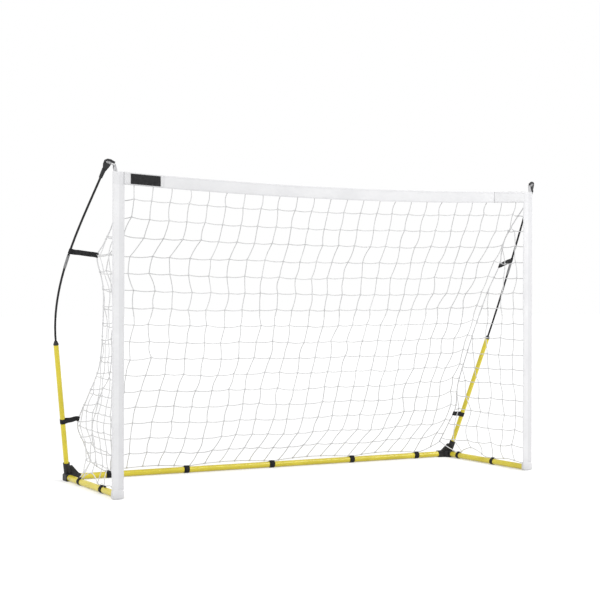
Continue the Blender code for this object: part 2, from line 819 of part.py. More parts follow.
def build_ground_straps():
    for index, x in enumerate(REAR_STRAP_X):
        ground_strap(f"rear_strap_{index + 1}", (x, GOAL_DEPTH, BASE_Z), (1, 0, 0))
    for side, name in SIDE_NAMES:
        for place, y in zip(("rear", "front"), SIDE_STRAP_Y[side]):
            ground_strap(f"side_strap_{place}_{name}", (side * SIDE_X, y, BASE_Z), (0, 1, 0))


def half_foot_route(side):
    """One side's half of the cord along the bottom of the net."""
    height = BASE_Z + CORD_ON_TUBE
    past_strap = STRAP_WIDTH / 2 + CORD_PAST_STRAP
    front = Vector((side * SIDE_X, POCKET_BACK + CLEAR, height))
    side_tie = Vector((side * SIDE_X, SIDE_STRAP_Y[side][0] + past_strap, height))
    rear_tie = Vector((side * (REAR_STRAP_X[-1] + past_strap), GOAL_DEPTH, height))
    return [front, side_tie, net_corner(side), rear_tie]


def foot_route():
    """The cord along the bottom of the net, from one pocket to the other."""
    return [*half_foot_route(-1), *half_foot_route(1)[::-1]]


def rounded_line(points, reach, steps=3):
    """The same line with each corner rounded over reach on both sides."""
    line = [points[0]]
    for before, corner, after in zip(points, points[1:], points[2:]):
        start = corner + (before - corner).normalized() * reach
        end = corner + (after - corner).normalized() * reach
        for step in range(steps + 1):
            t = step / steps
            line.append(start * (1 - t) ** 2 + corner * 2 * t * (1 - t) + end * t ** 2)
    line.append(points[-1])
    return line


def build_cords():
    line = rounded_line(foot_route(), FOOT_CORD_BEND)
    foot = cord("net_foot_cord", line, FOOT_CORD_R, 1)
    finish(foot, NET_WHITE)
    for side, name in SIDE_NAMES:
        edge = cord(f"net_edge_cord_{name}", edge_route(side), EDGE_CORD_R, 1)
        finish(edge, NET_WHITE)


def net_edge_point(side, height):
    """A point on the back net's side edge, just inside the edge cord."""
    point = point_at_height(edge_route(side), height)
    return point - Vector((side * CORD_GAP * NET_TO_CORD, 0, 0))


def build_back_net():
    corner = net_corner(1)
    foot_z = BASE_Z + CORD_ON_TUBE + NET_ON_CORD
    foot = []
    for start, end in zip(REAR_STRAP_X, [*REAR_STRAP_X[1:], None]):
        foot.append(Vector((start, GOAL_DEPTH, foot_z + NET_OVER_STRAP)))
        for step in range(1, NET_BAY_COLUMNS if end is not None else 1):
            x = start + (end - start) * step / NET_BAY_COLUMNS
            foot.append(Vector((x, GOAL_DEPTH, foot_z)))
    lift = UP * NET_ON_CORD * CORNER_LIFT
    foot = [Vector((-corner.x, corner.y, corner.z)) + lift, *foot, corner + lift]
    top = []
    for index, point in enumerate(foot):
        x = POST_INNER_X * (2 * index / (len(foot) - 1) - 1)
        top.append(Vector((x, NET_BACK_Y, crossbar_foot(x) + NET_LAP)))
    rows = []
    for row in range(NET_ROWS + 1):
        v = row / NET_ROWS
        line = [high.lerp(low, v) for high, low in zip(top, foot)]
        droop = math.sin(math.pi / 2 * min(1.0, v / NET_SAG_FULL)) ** NET_SAG_POWER
        if row == NET_ROWS:
            droop = 0.0
        pulls = []
        for side, end in ((-1, line[0]), (1, line[-1])):
            pulls.append(net_edge_point(side, end.z) - end)
        made = []
        for index, point in enumerate(line):
            u = index / (len(line) - 1)
            belly = 1 - abs(2 * u - 1) ** 6
            pull = pulls[0] * (1 - u) ** 4 + pulls[1] * u ** 4
            if row == 0 or (row == NET_ROWS and 0 < index < len(line) - 1):
                pull = Vector((0, 0, 0))
            made.append(point + pull - Vector((0, NET_SAG * belly * droop, 0)))
        rows.append(made[::-1])
    finish(netting("net_back", rows), NET_WHITE)


def netting(name, rows):
    """A knotless net: a frame of twine round each gap of the grid."""
    net = sheet_grid(name, rows)
    shape = bmesh.new()
    shape.from_mesh(net.data)
    gaps = list(shape.faces)
    bmesh.ops.inset_individual(shape, faces=gaps, thickness=TWINE / 2, use_even_offset=True)
    bmesh.ops.delete(shape, geom=gaps, context="FACES")
    shape.to_mesh(net.data)
    shape.free()
    thicken(net, TWINE)
    return net


def build_side_nets():
    for side, name in SIDE_NAMES:
        route = edge_route(side)
        front_x = side * POST_X
        tie_z = BASE_Z + CORD_ON_TUBE + NET_ON_CORD + NET_OVER_STRAP
        tie = Vector((side * SIDE_X, SIDE_STRAP_Y[side][0], tie_z))
        heights = row_heights()[SIDE_NET_FIRST_ROW:]
        drop = heights[0] - SIDE_NET_BOTTOM
        rows = []
        for row, height in enumerate(heights):
            level = heights[0] - drop * row / (len(heights) - 1)
            front = Vector((front_x, SIDE_NET_FRONT_Y, level))
            rear = point_at_height(route, height) - Vector((0, CORD_GAP * SIDE_NET_TO_CORD, 0))
            line = [front.lerp(rear, step / SIDE_NET_COLUMNS) for step in range(SIDE_NET_COLUMNS + 1)]
            if row == len(heights) - 1:
                inner = [front.lerp(tie, step / (SIDE_NET_COLUMNS - 1)) for step in range(SIDE_NET_COLUMNS)]
                line = [*inner, rear]
            rows.append(line if side > 0 else line[::-1])
        finish(netting(f"net_side_{name}", rows), NET_WHITE)


def build_bands():
    columns = 16
    rows = []
    for level in (0.0, BAND_WIDTH):
        row = []
        for index in range(columns + 1):
            x = CROSSBAR_END_X * (2 * index / columns - 1)
            row.append((x, 0, GOAL_HEIGHT - crossbar_drop(x) - level))
        rows.append(row)
    crossbar = sheet_grid("crossbar_band", rows)
    thicken(crossbar, BAND_THICK)
    finish(crossbar, WHITE_FABRIC)
    for side, name in SIDE_NAMES:
        low = (side * POST_X - BAND_WIDTH / 2, -BAND_THICK / 2, POCKET_HEIGHT + CLEAR)
        high = (side * POST_X + BAND_WIDTH / 2, BAND_THICK / 2, GOAL_HEIGHT)
        finish(box(f"post_band_{name}", low, high), WHITE_FABRIC)
        build_pocket(side, name)
        build_patch(side, name)
    build_label()


def build_pocket(side, name):
    low = (side * POST_X - BAND_WIDTH / 2, -POCKET_FRONT, 0)
    high = (side * POST_X + BAND_WIDTH / 2, POCKET_BACK, POCKET_HEIGHT)
    pocket = box(f"foot_pocket_{name}", low, high, POCKET_ROUND)
    finish(pocket, WHITE_FABRIC)
    start = (side * SIDE_X, SIDE_BAR_FRONT - CLEAR, BASE_Z)
    bore = rod_mesh(f"pocket_bore_{name}", POCKET_BACK * 2, TUBE_R + CLEAR, 20)
    as_cutter(bore, facing(start, (0, 1, 0), UP))
    boolean(pocket, bore, "DIFFERENCE")


def front_patch(name, start_x, end_x, top, height, thickness, front_y, look):
    """A thin cloth patch that follows the crossbar band."""
    columns = 4
    rows = []
    for level in (top, top + height):
        row = []
        for index in range(columns + 1):
            x = start_x + (end_x - start_x) * index / columns
            row.append((x, front_y, GOAL_HEIGHT - crossbar_drop(x) - level))
        rows.append(row)
    patch = sheet_grid(name, rows)
    thicken(patch, thickness)
    return finish(patch, look)


def build_patch(side, name):
    outer = side * CROSSBAR_END_X
    inner = side * (CROSSBAR_END_X - PATCH_LENGTH)
    front_y = -(BAND_THICK / 2 + CLEAR + PATCH_THICK / 2)
    height = BAND_WIDTH - 2 * PATCH_MARGIN
    start, end = min(outer, inner), max(outer, inner)
    front_patch(
        f"crossbar_patch_{name}",
        start,
        end,
        PATCH_MARGIN,
        height,
        PATCH_THICK,
        front_y,
        WHITE_FABRIC,
    )


def build_label():
    start = -CROSSBAR_END_X + LABEL_INSET
    top = (BAND_WIDTH - LABEL_HEIGHT) / 2
    front_y = -(BAND_THICK / 2 + 2 * CLEAR + PATCH_THICK + LABEL_THICK / 2)
    end = start + LABEL_LENGTH
    front_patch("crossbar_label", start, end, top, LABEL_HEIGHT, LABEL_THICK, front_y, LABEL_BLACK)


def nearest_on(points, target):
    """The point of a line of points nearest to a target, and its direction."""
    best = None
    for a, b in zip(points, points[1:]):
        span = b - a
        t = max(0.0, min(1.0, (target - a).dot(span) / span.length_squared))
        point = a + span * t
        if best is None or (point - target).length < best[0]:
            best = ((point - target).length, point, span.normalized())
    return best[1], best[2]


def build_pole_straps():
    """Webbing straps from the pole and the tube to the net's edge cord."""
    for side, name in SIDE_NAMES:
        route = edge_route(side)
        straight = [upright_point(side, SOCKET_TOP), upright_point(side, UPRIGHT_TOP)]
        lines = (bow_points(side), straight)
        radii = (POLE_R, UPRIGHT_R)
        heights = POLE_STRAP_CORD_Z[side]
        for label, height, line, radius in zip(("upper", "lower"), heights, lines, radii):
            tie = point_at_height(route, height)
            centre, axis = nearest_on(line, tie)
            if axis.z < 0:
                axis = -axis
            reach = tie - centre
            reach = reach - axis * reach.dot(axis)
            towards = reach.normalized()
            inner_r = radius + CLEAR
            outer_r = inner_r + POLE_STRAP_THICK / 2
            half = POLE_STRAP_THICK / 2
            tail = end_of_tail(route, centre, towards, axis)
            start_angle = math.asin(half / outer_r)
            steps = 16
            outer = [(tail, half), (tail, -half)]
            for step in range(steps + 1):
                angle = -start_angle - (2 * math.pi - 2 * start_angle) * step / steps
                outer.append((outer_r * math.cos(angle), outer_r * math.sin(angle)))
            inner = []
            for step in range(steps):
                angle = 2 * math.pi * step / steps
                inner.append((inner_r * math.cos(angle), inner_r * math.sin(angle)))
            strap = to_mesh(plate(f"pole_strap_{label}_{name}", [outer, inner], POLE_STRAP_WIDTH))
            turn = Matrix((towards, axis.cross(towards), axis)).transposed().to_4x4()
            finish(strap, STRAP_BLACK, Matrix.Translation(centre) @ turn)


def end_of_tail(route, centre, towards, axis):
    """How far a strap's tail reaches before it meets the edge cord."""
    reach = 0.010
    step = 0.0002
    sideways = axis.cross(towards) * (POLE_STRAP_THICK / 2)
    edges = [
        axis * (POLE_STRAP_WIDTH * share) + sideways * way
        for share in (-0.5, -0.25, 0.0, 0.25, 0.5)
        for way in (-1, 1)
    ]
    while reach < 0.3:
        tips = [centre + towards * (reach + step) + edge for edge in edges]
        gaps = [(nearest_on(route, tip)[0] - tip).length for tip in tips]
        if min(gaps) < EDGE_CORD_R + CLEAR:
            break
        reach += step
    return reach


def build_corner_tabs():
    """The white webbing tab between each cap's hook and the goal's corner."""
    for side, name in SIDE_NAMES:
        mouth = bow_points(side)[-1]
        tip_way = Vector((side * TIP_DIRECTION.x, TIP_DIRECTION.y, TIP_DIRECTION.z))
        place = cap_frame(side, mouth, tip_way)
        hook = place @ Vector((TAB_HOOK_REACH, TAB_HOOK_RISE - TAB_THICK / 2, 0))
        foot = Vector((side * (POST_X + TAB_FOOT_OUT), 0, GOAL_HEIGHT + TAB_FOOT_GAP))
        rows = []
        steps = 3
        for step in range(steps + 1):
            t = step / steps
            centre = hook.lerp(foot, t)
            half = (TAB_TOP_WIDTH + (TAB_FOOT_WIDTH - TAB_TOP_WIDTH) * t) / 2
            rows.append([centre - Vector((half, 0, 0)), centre + Vector((half, 0, 0))])
        tab = sheet_grid(f"corner_tab_{name}", rows)
        thicken(tab, TAB_THICK)
        finish(tab, WHITE_FABRIC)


build_rear_bar()
build_side_bars()
build_hubs()
build_snap_buttons()
build_uprights()
build_bands()
build_cords()
build_ground_straps()
build_back_net()
build_side_nets()
build_pole_straps()
build_corner_tabs()
bpy.context.view_layer.update()
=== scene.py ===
"""Looks for a portable bow-style football goal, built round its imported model.

Units are metres, +Z is up, and the mouth of the goal faces -Y. The tubes, hubs,
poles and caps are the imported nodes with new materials. The bands, net, cords and
straps are new pieces that take the place of the plain soft nodes.
"""

import math
import random

import bpy
from mathutils import Matrix, Vector, noise


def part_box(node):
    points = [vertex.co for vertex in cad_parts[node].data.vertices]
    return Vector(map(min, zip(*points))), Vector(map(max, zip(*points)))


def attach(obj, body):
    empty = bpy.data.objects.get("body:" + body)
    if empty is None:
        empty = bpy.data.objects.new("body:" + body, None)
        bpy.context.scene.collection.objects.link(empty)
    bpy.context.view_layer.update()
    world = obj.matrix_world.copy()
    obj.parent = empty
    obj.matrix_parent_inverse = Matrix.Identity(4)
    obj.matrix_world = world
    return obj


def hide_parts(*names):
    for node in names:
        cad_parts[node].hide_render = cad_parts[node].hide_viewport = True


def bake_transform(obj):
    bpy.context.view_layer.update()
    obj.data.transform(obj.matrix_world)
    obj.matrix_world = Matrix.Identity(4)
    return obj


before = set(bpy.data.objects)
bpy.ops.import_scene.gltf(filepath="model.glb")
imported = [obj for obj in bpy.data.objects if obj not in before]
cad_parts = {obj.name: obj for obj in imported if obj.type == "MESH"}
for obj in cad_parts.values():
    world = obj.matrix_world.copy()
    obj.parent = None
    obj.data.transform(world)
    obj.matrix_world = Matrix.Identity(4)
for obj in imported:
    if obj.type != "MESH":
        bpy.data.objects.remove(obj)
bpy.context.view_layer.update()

GROUND = "ground_frame_and_net"
SIDES = ((-1, "left"), (1, "right"))
UP = Vector((0, 0, 1))
CHANCE = random.Random(11)


def middle(node, axis):
    """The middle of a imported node's box along an axis."""
    return sum(corner[axis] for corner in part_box(node)) / 2


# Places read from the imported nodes
CROSSBAR_LOW, CROSSBAR_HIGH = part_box("crossbar_band")
POST_LOW, POST_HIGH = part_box("post_band_right")
REAR_LOW, REAR_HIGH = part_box("rear_bar_middle")
POCKET_LOW, POCKET_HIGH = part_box("foot_pocket_right")
PATCH_LOW, PATCH_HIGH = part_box("crossbar_patch_right")
LABEL_LOW, LABEL_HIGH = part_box("crossbar_label")
STRAP_LOW, STRAP_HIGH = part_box("rear_strap_3")

MOUTH_Y = middle("crossbar_band", 1)
BAND_THICK = CROSSBAR_HIGH.y - CROSSBAR_LOW.y
BAND_WIDTH = POST_HIGH.x - POST_LOW.x
GOAL_HEIGHT = POST_HIGH.z
POST_X = middle("post_band_right", 0)
POST_INNER_X = POST_LOW.x
TUBE_R = (REAR_HIGH.z - REAR_LOW.z) / 2
BASE_Z = middle("rear_bar_middle", 2)
REAR_Y = middle("rear_bar_middle", 1)
SIDE_X = middle("side_bar_right", 0)
CROSSBAR_SAG = CROSSBAR_HIGH.z - CROSSBAR_LOW.z - BAND_WIDTH
STRAP_WIDTH = STRAP_HIGH.x - STRAP_LOW.x
REAR_STRAP_X = [middle(f"rear_strap_{index}", 0) for index in range(1, 6)]
SIDE_STRAP_Y = {
    side: {place: middle(f"side_strap_{place}_{name}", 1) for place in ("front", "rear")}
    for side, name in SIDES
}

# Cords and twine
TWINE_R = 0.0023
KNOT_R = 0.0044
EDGE_CORD_R = 0.0030
FOOT_CORD_R = 0.0025
CLEAR = 0.0003
CORD_Z = BASE_Z + TUBE_R + CLEAR + FOOT_CORD_R
NET_CORNER = Vector((1.078, 0.300, 0.100))

# The cord along the rear edge of the right side net, from the top down
EDGE_CORD_POINTS = (
    *((1.185, -0.374, 1.463), (1.161, -0.234, 1.300), (1.179, -0.159, 1.199)),
    *((1.198, -0.117, 1.130), (1.152, -0.076, 0.992), (1.124, 0.002, 0.800), (1.110, 0.088, 0.600)),
    *((1.132, 0.195, 0.4395), (1.162, 0.261, 0.300), (1.122, 0.281, 0.200)),
)

# How the foot cord lies flat at its straps, dips past the net's corner, and rises
# between straps: along the rear bar, and along a side bar as the share of the way
# between its straps, how far in it lies, and its rise
STRAP_MARGIN = 0.004
CORNER_DIP = 0.004
REAR_RISE = 0.013
SIDE_RISES = ((0.17, 0.005, 0.020), (0.40, 0.009, 0.040), (0.60, 0.006, 0.027), (0.77, 0.001, 0.003))
FRONT_RISES = ((0.45, 0.0, 0.011), (0.80, 0.0, 0.004))

# Net
NET_STRINGS = 24
NET_ROWS = 17
NET_FIRST_ROW = 0.8
NET_SAG = 0.140
NET_SAG_FULL = 0.90
NET_SAG_POWER = 1.7
NET_TOP_HANG = 0.036
NET_TOP_SHARE = 0.23
NET_TOP_Y = MOUTH_Y + BAND_THICK / 2
NET_TOP_LAP = 0.004
STRING_WANDER = 0.011
STRING_STEPS = 4
KNOT_SCATTER = 0.005
SLACK = 0.0045
UPRIGHT_SWAY = 0.7
ROW_SWAY = 0.35
SIDE_NET_Y = NET_TOP_Y + 0.001
SIDE_NET_PITCH = 0.100
SIDE_NET_COLUMNS = 6
SIDE_NET_LOW_ROW = 0.200
KNOT_BELOW_EDGE = 0.015
SHORTEST_ROW = 0.020

# Cord stopper on its string beside the foot cord, near the left side's front strap,
# and its outline as shares of its length with radii
STOPPER = Vector((-1.1885, -0.2040, 0.0392))
STOPPER_TIE_Y = -0.120
STOPPER_LENGTH = 0.013
STOPPER_PROFILE = (
    *((0.0, 0.0022), (0.04, 0.0040), (0.30, 0.0050), (0.62, 0.0050), (0.68, 0.0036)),
    *((0.74, 0.0036), (0.80, 0.0046), (0.96, 0.0042), (1.0, 0.0024)),
)

# Cloth: the share of its node's thickness that it fills, its bulges and ripples, the
# posts' double-layer zone that painted shade darkens, how far the corner patches lap
# over the posts and the posts' cloth over the feet, and for patches and label the step
# forward and the bulge
CLOTH_SHARE = 0.6
CLOTH_ROUND = 0.0007
CROSSBAR_BULGE = 0.0006
POST_BULGE = 0.0012
BAND_RIPPLE = 0.0008
POST_SHADED_DOUBLED = (0.033, 0.060)
PATCH_MARGIN = 0.001
PATCH_LAP = 0.0025
PATCH_FORWARD, PATCH_BULGE = 0.0006, 0.0006
FOOT_LAP = 0.002
LABEL_HEIGHT = 0.048
LABEL_SHIFT = 0.005
LABEL_FORWARD, LABEL_BULGE = 0.0012, 0.0004
STITCH_WIDTH, STITCH_SHARE = 0.001, 0.68
SHARP_ANGLE = math.radians(40)
ROUNDED_ANGLE = math.radians(50)

# Rounded foot of each post, from its front to its back: depth behind the front,
# height of the underside, height of the top, and half the width
FOOT_RINGS = (
    (0.0000, 0.0080, 0.0180, 0.0240),
    (0.0008, 0.0045, 0.0250, 0.0275),
    (0.0025, 0.0018, 0.0330, 0.0292),
    (0.0050, 0.0006, 0.0405, 0.0299),
    (0.0078, 0.0003, 0.0461, 0.0300),
    (0.0190, 0.0003, 0.0461, 0.0300),
    (0.0200, 0.0012, 0.0452, 0.0292),
)
FOOT_SQUARED = 0.42
FOOT_STEPS = 32
FOOT_FRONT = 0.0095
FOOT_CELL = 0.006

# Straps round the ground tubes
WRAP_THICK = 0.0014
WRAP_PLY = 0.0016
WEBBING_ROUND = 0.0004

# Straps from the poles and uprights to the edge cord: where each ends on the cord
# and on its pole, as heights, for the left and the right side
POLE_STRAP_ENDS = {
    ("upper", -1): (1.143, 1.1615),
    ("upper", 1): (1.127, 1.1615),
    ("lower", -1): (0.326, 0.315),
    ("lower", 1): (0.266, 0.257),
}
POLE_STRAP_PLY = 0.0013
PLY_GAP = 0.0002
POLE_STRAP_START = 0.004
POLE_STRAP_LAP = 0.62
POLE_STRAP_TURN = 0.028
LOOP_NEAR = 2.1

# Tab from the post's top corner to the hook of the pole's cap, in the cap's own frame
CAP_PLACE = Vector((1.2476, -0.3376, 1.5316))
CAP_INWARD = Vector((-0.8601, -0.5101, 0.0))
CAP_UP = Vector((0.1405, -0.2369, 0.9613))
HOOK = (0.030, 0.038)
TAB_PLY = 0.0012
TAB_SLOT_WIDTH = 0.011
TAB_FOOT_WIDTH = 0.021
TAB_NARROWS = 0.040
TAB_FOOT = Vector((1.205, MOUTH_Y, 1.5268))
TAB_LOOP = (
    *((0.0545, 0.0300), (0.0470, 0.0330), (0.0400, 0.0372), (0.0300, 0.0425), (0.0200, 0.0432)),
    *((0.0150, 0.0410), (0.0168, 0.0394), (0.0220, 0.0404), (0.0300, 0.0398), (0.0370, 0.0358)),
    *((0.0392, 0.0336), (0.0365, 0.0332), (0.0295, 0.0372), (0.0220, 0.0378), (0.0182, 0.0370)),
    *((0.0200, 0.0356), (0.0270, 0.0332), (0.0370, 0.0290), (0.0455, 0.0260)),
)

# Leaf springs behind the snap buttons
LEAF_WIDTH = 0.008
LEAF_THICK = 0.0008
LEAF_ROUND = 0.0002

# Camera, lamps, floor and sky
CAMERA_TURN = (28.489, -0.016, 0.149)
CAMERA_PLACE = (-3.478, -6.368, 0.932)
CAMERA_SENSOR = 36.0
CAMERA_LENS = 82.0
LAMPS = (("key", (4.5, -4.0, 4.6), 275), ("fill", (-5.0, -2.4, 4.2), 165))
LAMP_TARGET = Vector((0, 0, 0.6))
LAMP_SIZE = 3.5
FLOOR_HALF = 60.0
FLOOR_GLOW = (1.5, 9.0, 0.30, 0.58)
SKY_STRENGTH = 0.62


def mix(a, b, t):
    return a + (b - a) * t


def smooth_step(value, start, end):
    t = min(1.0, max(0.0, (value - start) / (end - start)))
    return t * t * (3 - 2 * t)


def mirrored(point, side):
    return Vector((side * point.x, point.y, point.z))


def smooth_route(points, steps):
    """A smooth curve through the points, with steps along each stretch."""
    ends = [points[0] * 2 - points[1], *points, points[-1] * 2 - points[-2]]
    route = []
    for before, start, end, after in zip(ends, ends[1:], ends[2:], ends[3:]):
        for step in range(steps):
            t = step / steps
            bend = before * 2 - start * 5 + end * 4 - after
            twist = start * 3 - before - end * 3 + after
            route.append((start * 2 + (end - before) * t + bend * t ** 2 + twist * t ** 3) / 2)
    route.append(points[-1])
    return route


def point_where(points, axis, value):
    """The point where a line of points passes a value on an axis, if it does."""
    for a, b in zip(points, points[1:]):
        if (a[axis] - value) * (b[axis] - value) <= 0 and a[axis] != b[axis]:
            return a.lerp(b, (value - a[axis]) / (b[axis] - a[axis]))
    return None


def crossbar_drop(x):
    """How far the crossbar band hangs below its ends."""
    return CROSSBAR_SAG * (1 - min(1.0, abs(x) / POST_INNER_X) ** 2)


def feed(tree, node, inputs):
    """Links a node's inputs, or sets their number, colour or scale."""
    for key, value in inputs.items():
        socket = node.inputs[key]
        if isinstance(value, bpy.types.NodeSocket):
            tree.links.new(value, socket)
        elif isinstance(value, tuple):
            socket.default_value = (*value, 1.0)[: len(socket.default_value)]
        else:
            socket.default_value = value
    return node


def add_node(tree, kind, inputs, **settings):
    """A new shader node with its settings and inputs."""
    node = tree.nodes.new(f"ShaderNode{kind}")
    for name, value in settings.items():
        setattr(node, name, value)
    return feed(tree, node, inputs)


class Look:
    """A material, with a short way to write its shader nodes."""

    def __init__(self, name):
        self.material = bpy.data.materials.new(name)
        self.material.use_nodes = True
        self.tree = self.material.node_tree
        self.shader = self.tree.nodes["Principled BSDF"]
        self.place = self.add("TexCoord", {})

    def add(self, kind, inputs, **settings):
        return add_node(self.tree, kind, inputs, **settings)

    def calc(self, operation, a, b=0.0):
        return self.add("Math", {0: a, 1: b}, operation=operation).outputs[0]

    def noise(self, scale, detail, rough=0.55, stretch=(1.0, 1.0, 1.0)):
        where = self.add("Mapping", {"Vector": self.place.outputs["Object"], "Scale": stretch})
        inputs = {"Vector": where.outputs[0], "Scale": scale, "Detail": detail, "Roughness": rough}
        return self.add("TexNoise", inputs).outputs["Fac"]

    def ramp(self, source, low, high, start=0.0, end=1.0):
        """A value that goes from start to end as the source goes from low to high."""
        inputs = {"Value": source, "From Min": low, "From Max": high, "To Min": start, "To Max": end}
        return self.add("MapRange", inputs).outputs[0]

    def uneven(self, scale, detail, start, end):
        """A roughness that wanders between two values."""
        return self.ramp(self.noise(scale, detail), 0.3, 0.7, start, end)

    def cloth_place(self):
        """The two distances across and along the cloth, in metres."""
        return self.add("SeparateXYZ", {0: self.place.outputs["UV"]}).outputs[:2]

    def from_edge(self, across, width):
        """The distance from the nearer edge of a band or strap."""
        return self.calc("MINIMUM", across, self.calc("SUBTRACT", width, across))

    def wave(self, distance, pitch):
        return self.calc("SINE", self.calc("MULTIPLY", distance, 2 * math.pi / pitch))

    def stitches(self, distance, along, place, pitch):
        """One where a row of stitches runs, at a distance from the cloth's edge."""
        off = self.calc("ABSOLUTE", self.calc("SUBTRACT", distance, place))
        part = self.calc("FRACT", self.calc("DIVIDE", along, pitch))
        near, on = self.calc("LESS_THAN", off, STITCH_WIDTH / 2), self.calc("LESS_THAN", part, STITCH_SHARE)
        return self.calc("MULTIPLY", near, on)

    def colours(self, share, first, second, amount=None):
        """A mix of two colours by a share, which amount makes smaller."""
        if amount is not None:
            share = self.calc("MULTIPLY", share, amount)
        return self.add("Mix", {0: share, 6: first, 7: second}, data_type="RGBA").outputs[2]

    def bump(self, height, distance, strength, under=None):
        inputs = {"Height": height, "Distance": distance, "Strength": strength}
        if under is not None:
            inputs["Normal"] = under
        return self.add("Bump", inputs).outputs[0]

    def finish(self, colour, roughness, normal, **fixed):
        inputs = {"Base Color": colour, "Roughness": roughness, "Normal": normal}
        inputs.update({name.replace("_", " "): value for name, value in fixed.items()})
        feed(self.tree, self.shader, inputs)
        return self.material


def painted_tube():
    """Glossy yellow powder coat with its faint orange peel, scuffs and dust."""
    look = Look("yellow_powder_coat")
    tone = look.ramp(look.noise(9.0, 4.0), 0.3, 0.7)
    base = look.colours(tone, (0.66, 0.545, 0.022), (0.76, 0.635, 0.034))
    scuffs = look.ramp(look.noise(60.0, 6.0, 0.7, (1.0, 1.0, 0.35)), 0.64, 0.72, 0.0, 0.55)
    worn = look.colours(scuffs, base, (0.56, 0.50, 0.16))
    peel = look.bump(look.noise(620.0, 2.0), 0.0002, 0.35)
    normal = look.bump(scuffs, 0.0001, 0.4, peel)
    roughness = look.uneven(34.0, 5.0, 0.27, 0.44)
    return look.finish(worn, roughness, normal, Coat_Weight=0.25, Coat_Roughness=0.15)


def moulded_plastic():
    """Black moulded nylon with a fine spark-eroded grain."""
    look = Look("black_moulded_plastic")
    tone = look.ramp(look.noise(26.0, 4.0), 0.35, 0.7)
    base = look.colours(tone, (0.009, 0.009, 0.010), (0.022, 0.022, 0.024))
    rubbed = look.ramp(look.noise(85.0, 5.0, 0.65), 0.62, 0.74, 0.0, 0.5)
    colour = look.colours(rubbed, base, (0.055, 0.055, 0.058))
    cells = look.add("TexVoronoi", {"Vector": look.place.outputs["Object"], "Scale": 1100.0})
    grain = look.bump(cells.outputs["Distance"], 0.0002, 0.45)
    normal = look.bump(look.noise(70.0, 3.0), 0.0008, 0.25, grain)
    return look.finish(colour, look.uneven(48.0, 3.0, 0.42, 0.62), normal, Specular_IOR_Level=0.35)


def pultruded_rod():
    """Black fibreglass rod: glossy resin over faint lengthwise fibres."""
    look = Look("black_fibreglass_rod")
    fibres = look.noise(240.0, 4.0, 0.6, (1.0, 1.0, 0.03))
    base = look.colours(look.ramp(fibres, 0.35, 0.7), (0.003, 0.003, 0.004), (0.010, 0.010, 0.011))
    normal = look.bump(fibres, 0.0002, 0.35)
    return look.finish(base, look.uneven(30.0, 4.0, 0.24, 0.42), normal, Specular_IOR_Level=0.25)


def drawn_metal(name, dark, light, low, high):
    """A drawn metal tube with lengthwise lines and a few dull spots."""
    look = Look(name)
    lines = look.noise(420.0, 3.0, 0.6, (1.0, 1.0, 0.05))
    spots = look.ramp(look.noise(55.0, 5.0), 0.45, 0.75)
    colour = look.colours(spots, light, dark)
    roughness = look.ramp(lines, 0.3, 0.7, low, high)
    return look.finish(colour, roughness, look.bump(lines, 0.0001, 0.5), Metallic=1.0)


def band_cloth(name, width, tone, shaded_doubled=None, corner=None):
    """White woven polyester with a stitched hem along both edges, the hem darkened with
    painted shade.

    doubled is a lengthwise zone with a second layer, darkened with painted shade, and
    corner the length of a reinforced start.
    """
    look = Look(name)
    across, along = look.cloth_place()
    edge = look.from_edge(across, width)
    soil = look.ramp(look.noise(7.0, 5.0), 0.35, 0.75)
    light, dull, shade = (
        tuple(value * tone for value in colour)
        for colour in ((0.80, 0.80, 0.81), (0.72, 0.72, 0.735), (0.66, 0.66, 0.675))
    )
    # Painted shade: the hem along each edge is darkened towards the shade colour.
    hem = look.ramp(edge, 0.0085, 0.0095, 1.0, 0.0)
    colour = look.colours(hem, look.colours(soil, light, dull), shade, 0.22)
    if shaded_doubled:
        # Painted shade: the doubled zone is darkened towards the shade colour.
        past = look.calc("GREATER_THAN", across, shaded_doubled[0])
        zone = look.calc("MULTIPLY", past, look.calc("LESS_THAN", across, shaded_doubled[1]))
        colour = look.colours(zone, colour, shade, 0.55)
    if corner:
        colour = look.colours(look.calc("LESS_THAN", along, corner), colour, shade, 0.35)
    thread = look.stitches(edge, along, 0.0075, 0.0045)
    colour = look.colours(thread, colour, (0.90, 0.90, 0.91), 0.5)
    threads = look.calc("MULTIPLY", look.wave(across, 0.0011), look.wave(along, 0.0011))
    weave = look.bump(threads, 0.00012, 0.5)
    folds = look.bump(look.noise(16.0, 3.0, 0.5, (1.0, 1.0, 0.4)), 0.0030, 0.35, weave)
    normal = look.bump(look.calc("ADD", thread, look.calc("MULTIPLY", hem, 0.6)), 0.0006, 0.7, folds)
    roughness = look.uneven(40.0, 3.0, 0.72, 0.90)
    return look.finish(colour, roughness, normal, Sheen_Weight=0.15, Sheen_Roughness=0.5)


def webbing(name, dark, light, width, ribs=0.0022):
    """Woven webbing: lengthwise ribs crossed by fine picks, and a bound edge."""
    look = Look(name)
    across, along = look.cloth_place()
    rib = look.wave(across, ribs)
    crossed = look.calc("MULTIPLY", rib, look.wave(along, 0.0014))
    height = look.calc("ADD", look.calc("MULTIPLY", rib, 0.6), look.calc("MULTIPLY", crossed, 0.4))
    fuzz = look.ramp(look.noise(130.0, 5.0, 0.7), 0.4, 0.75)
    thread = look.stitches(look.from_edge(across, width), along, 0.0030, 0.0036)
    colour = look.colours(thread, look.colours(fuzz, dark, light), light, 0.35)
    normal = look.bump(thread, 0.0004, 0.8, look.bump(height, 0.0003, 0.7))
    return look.finish(colour, look.uneven(60.0, 3.0, 0.68, 0.92), normal, Specular_IOR_Level=0.3)


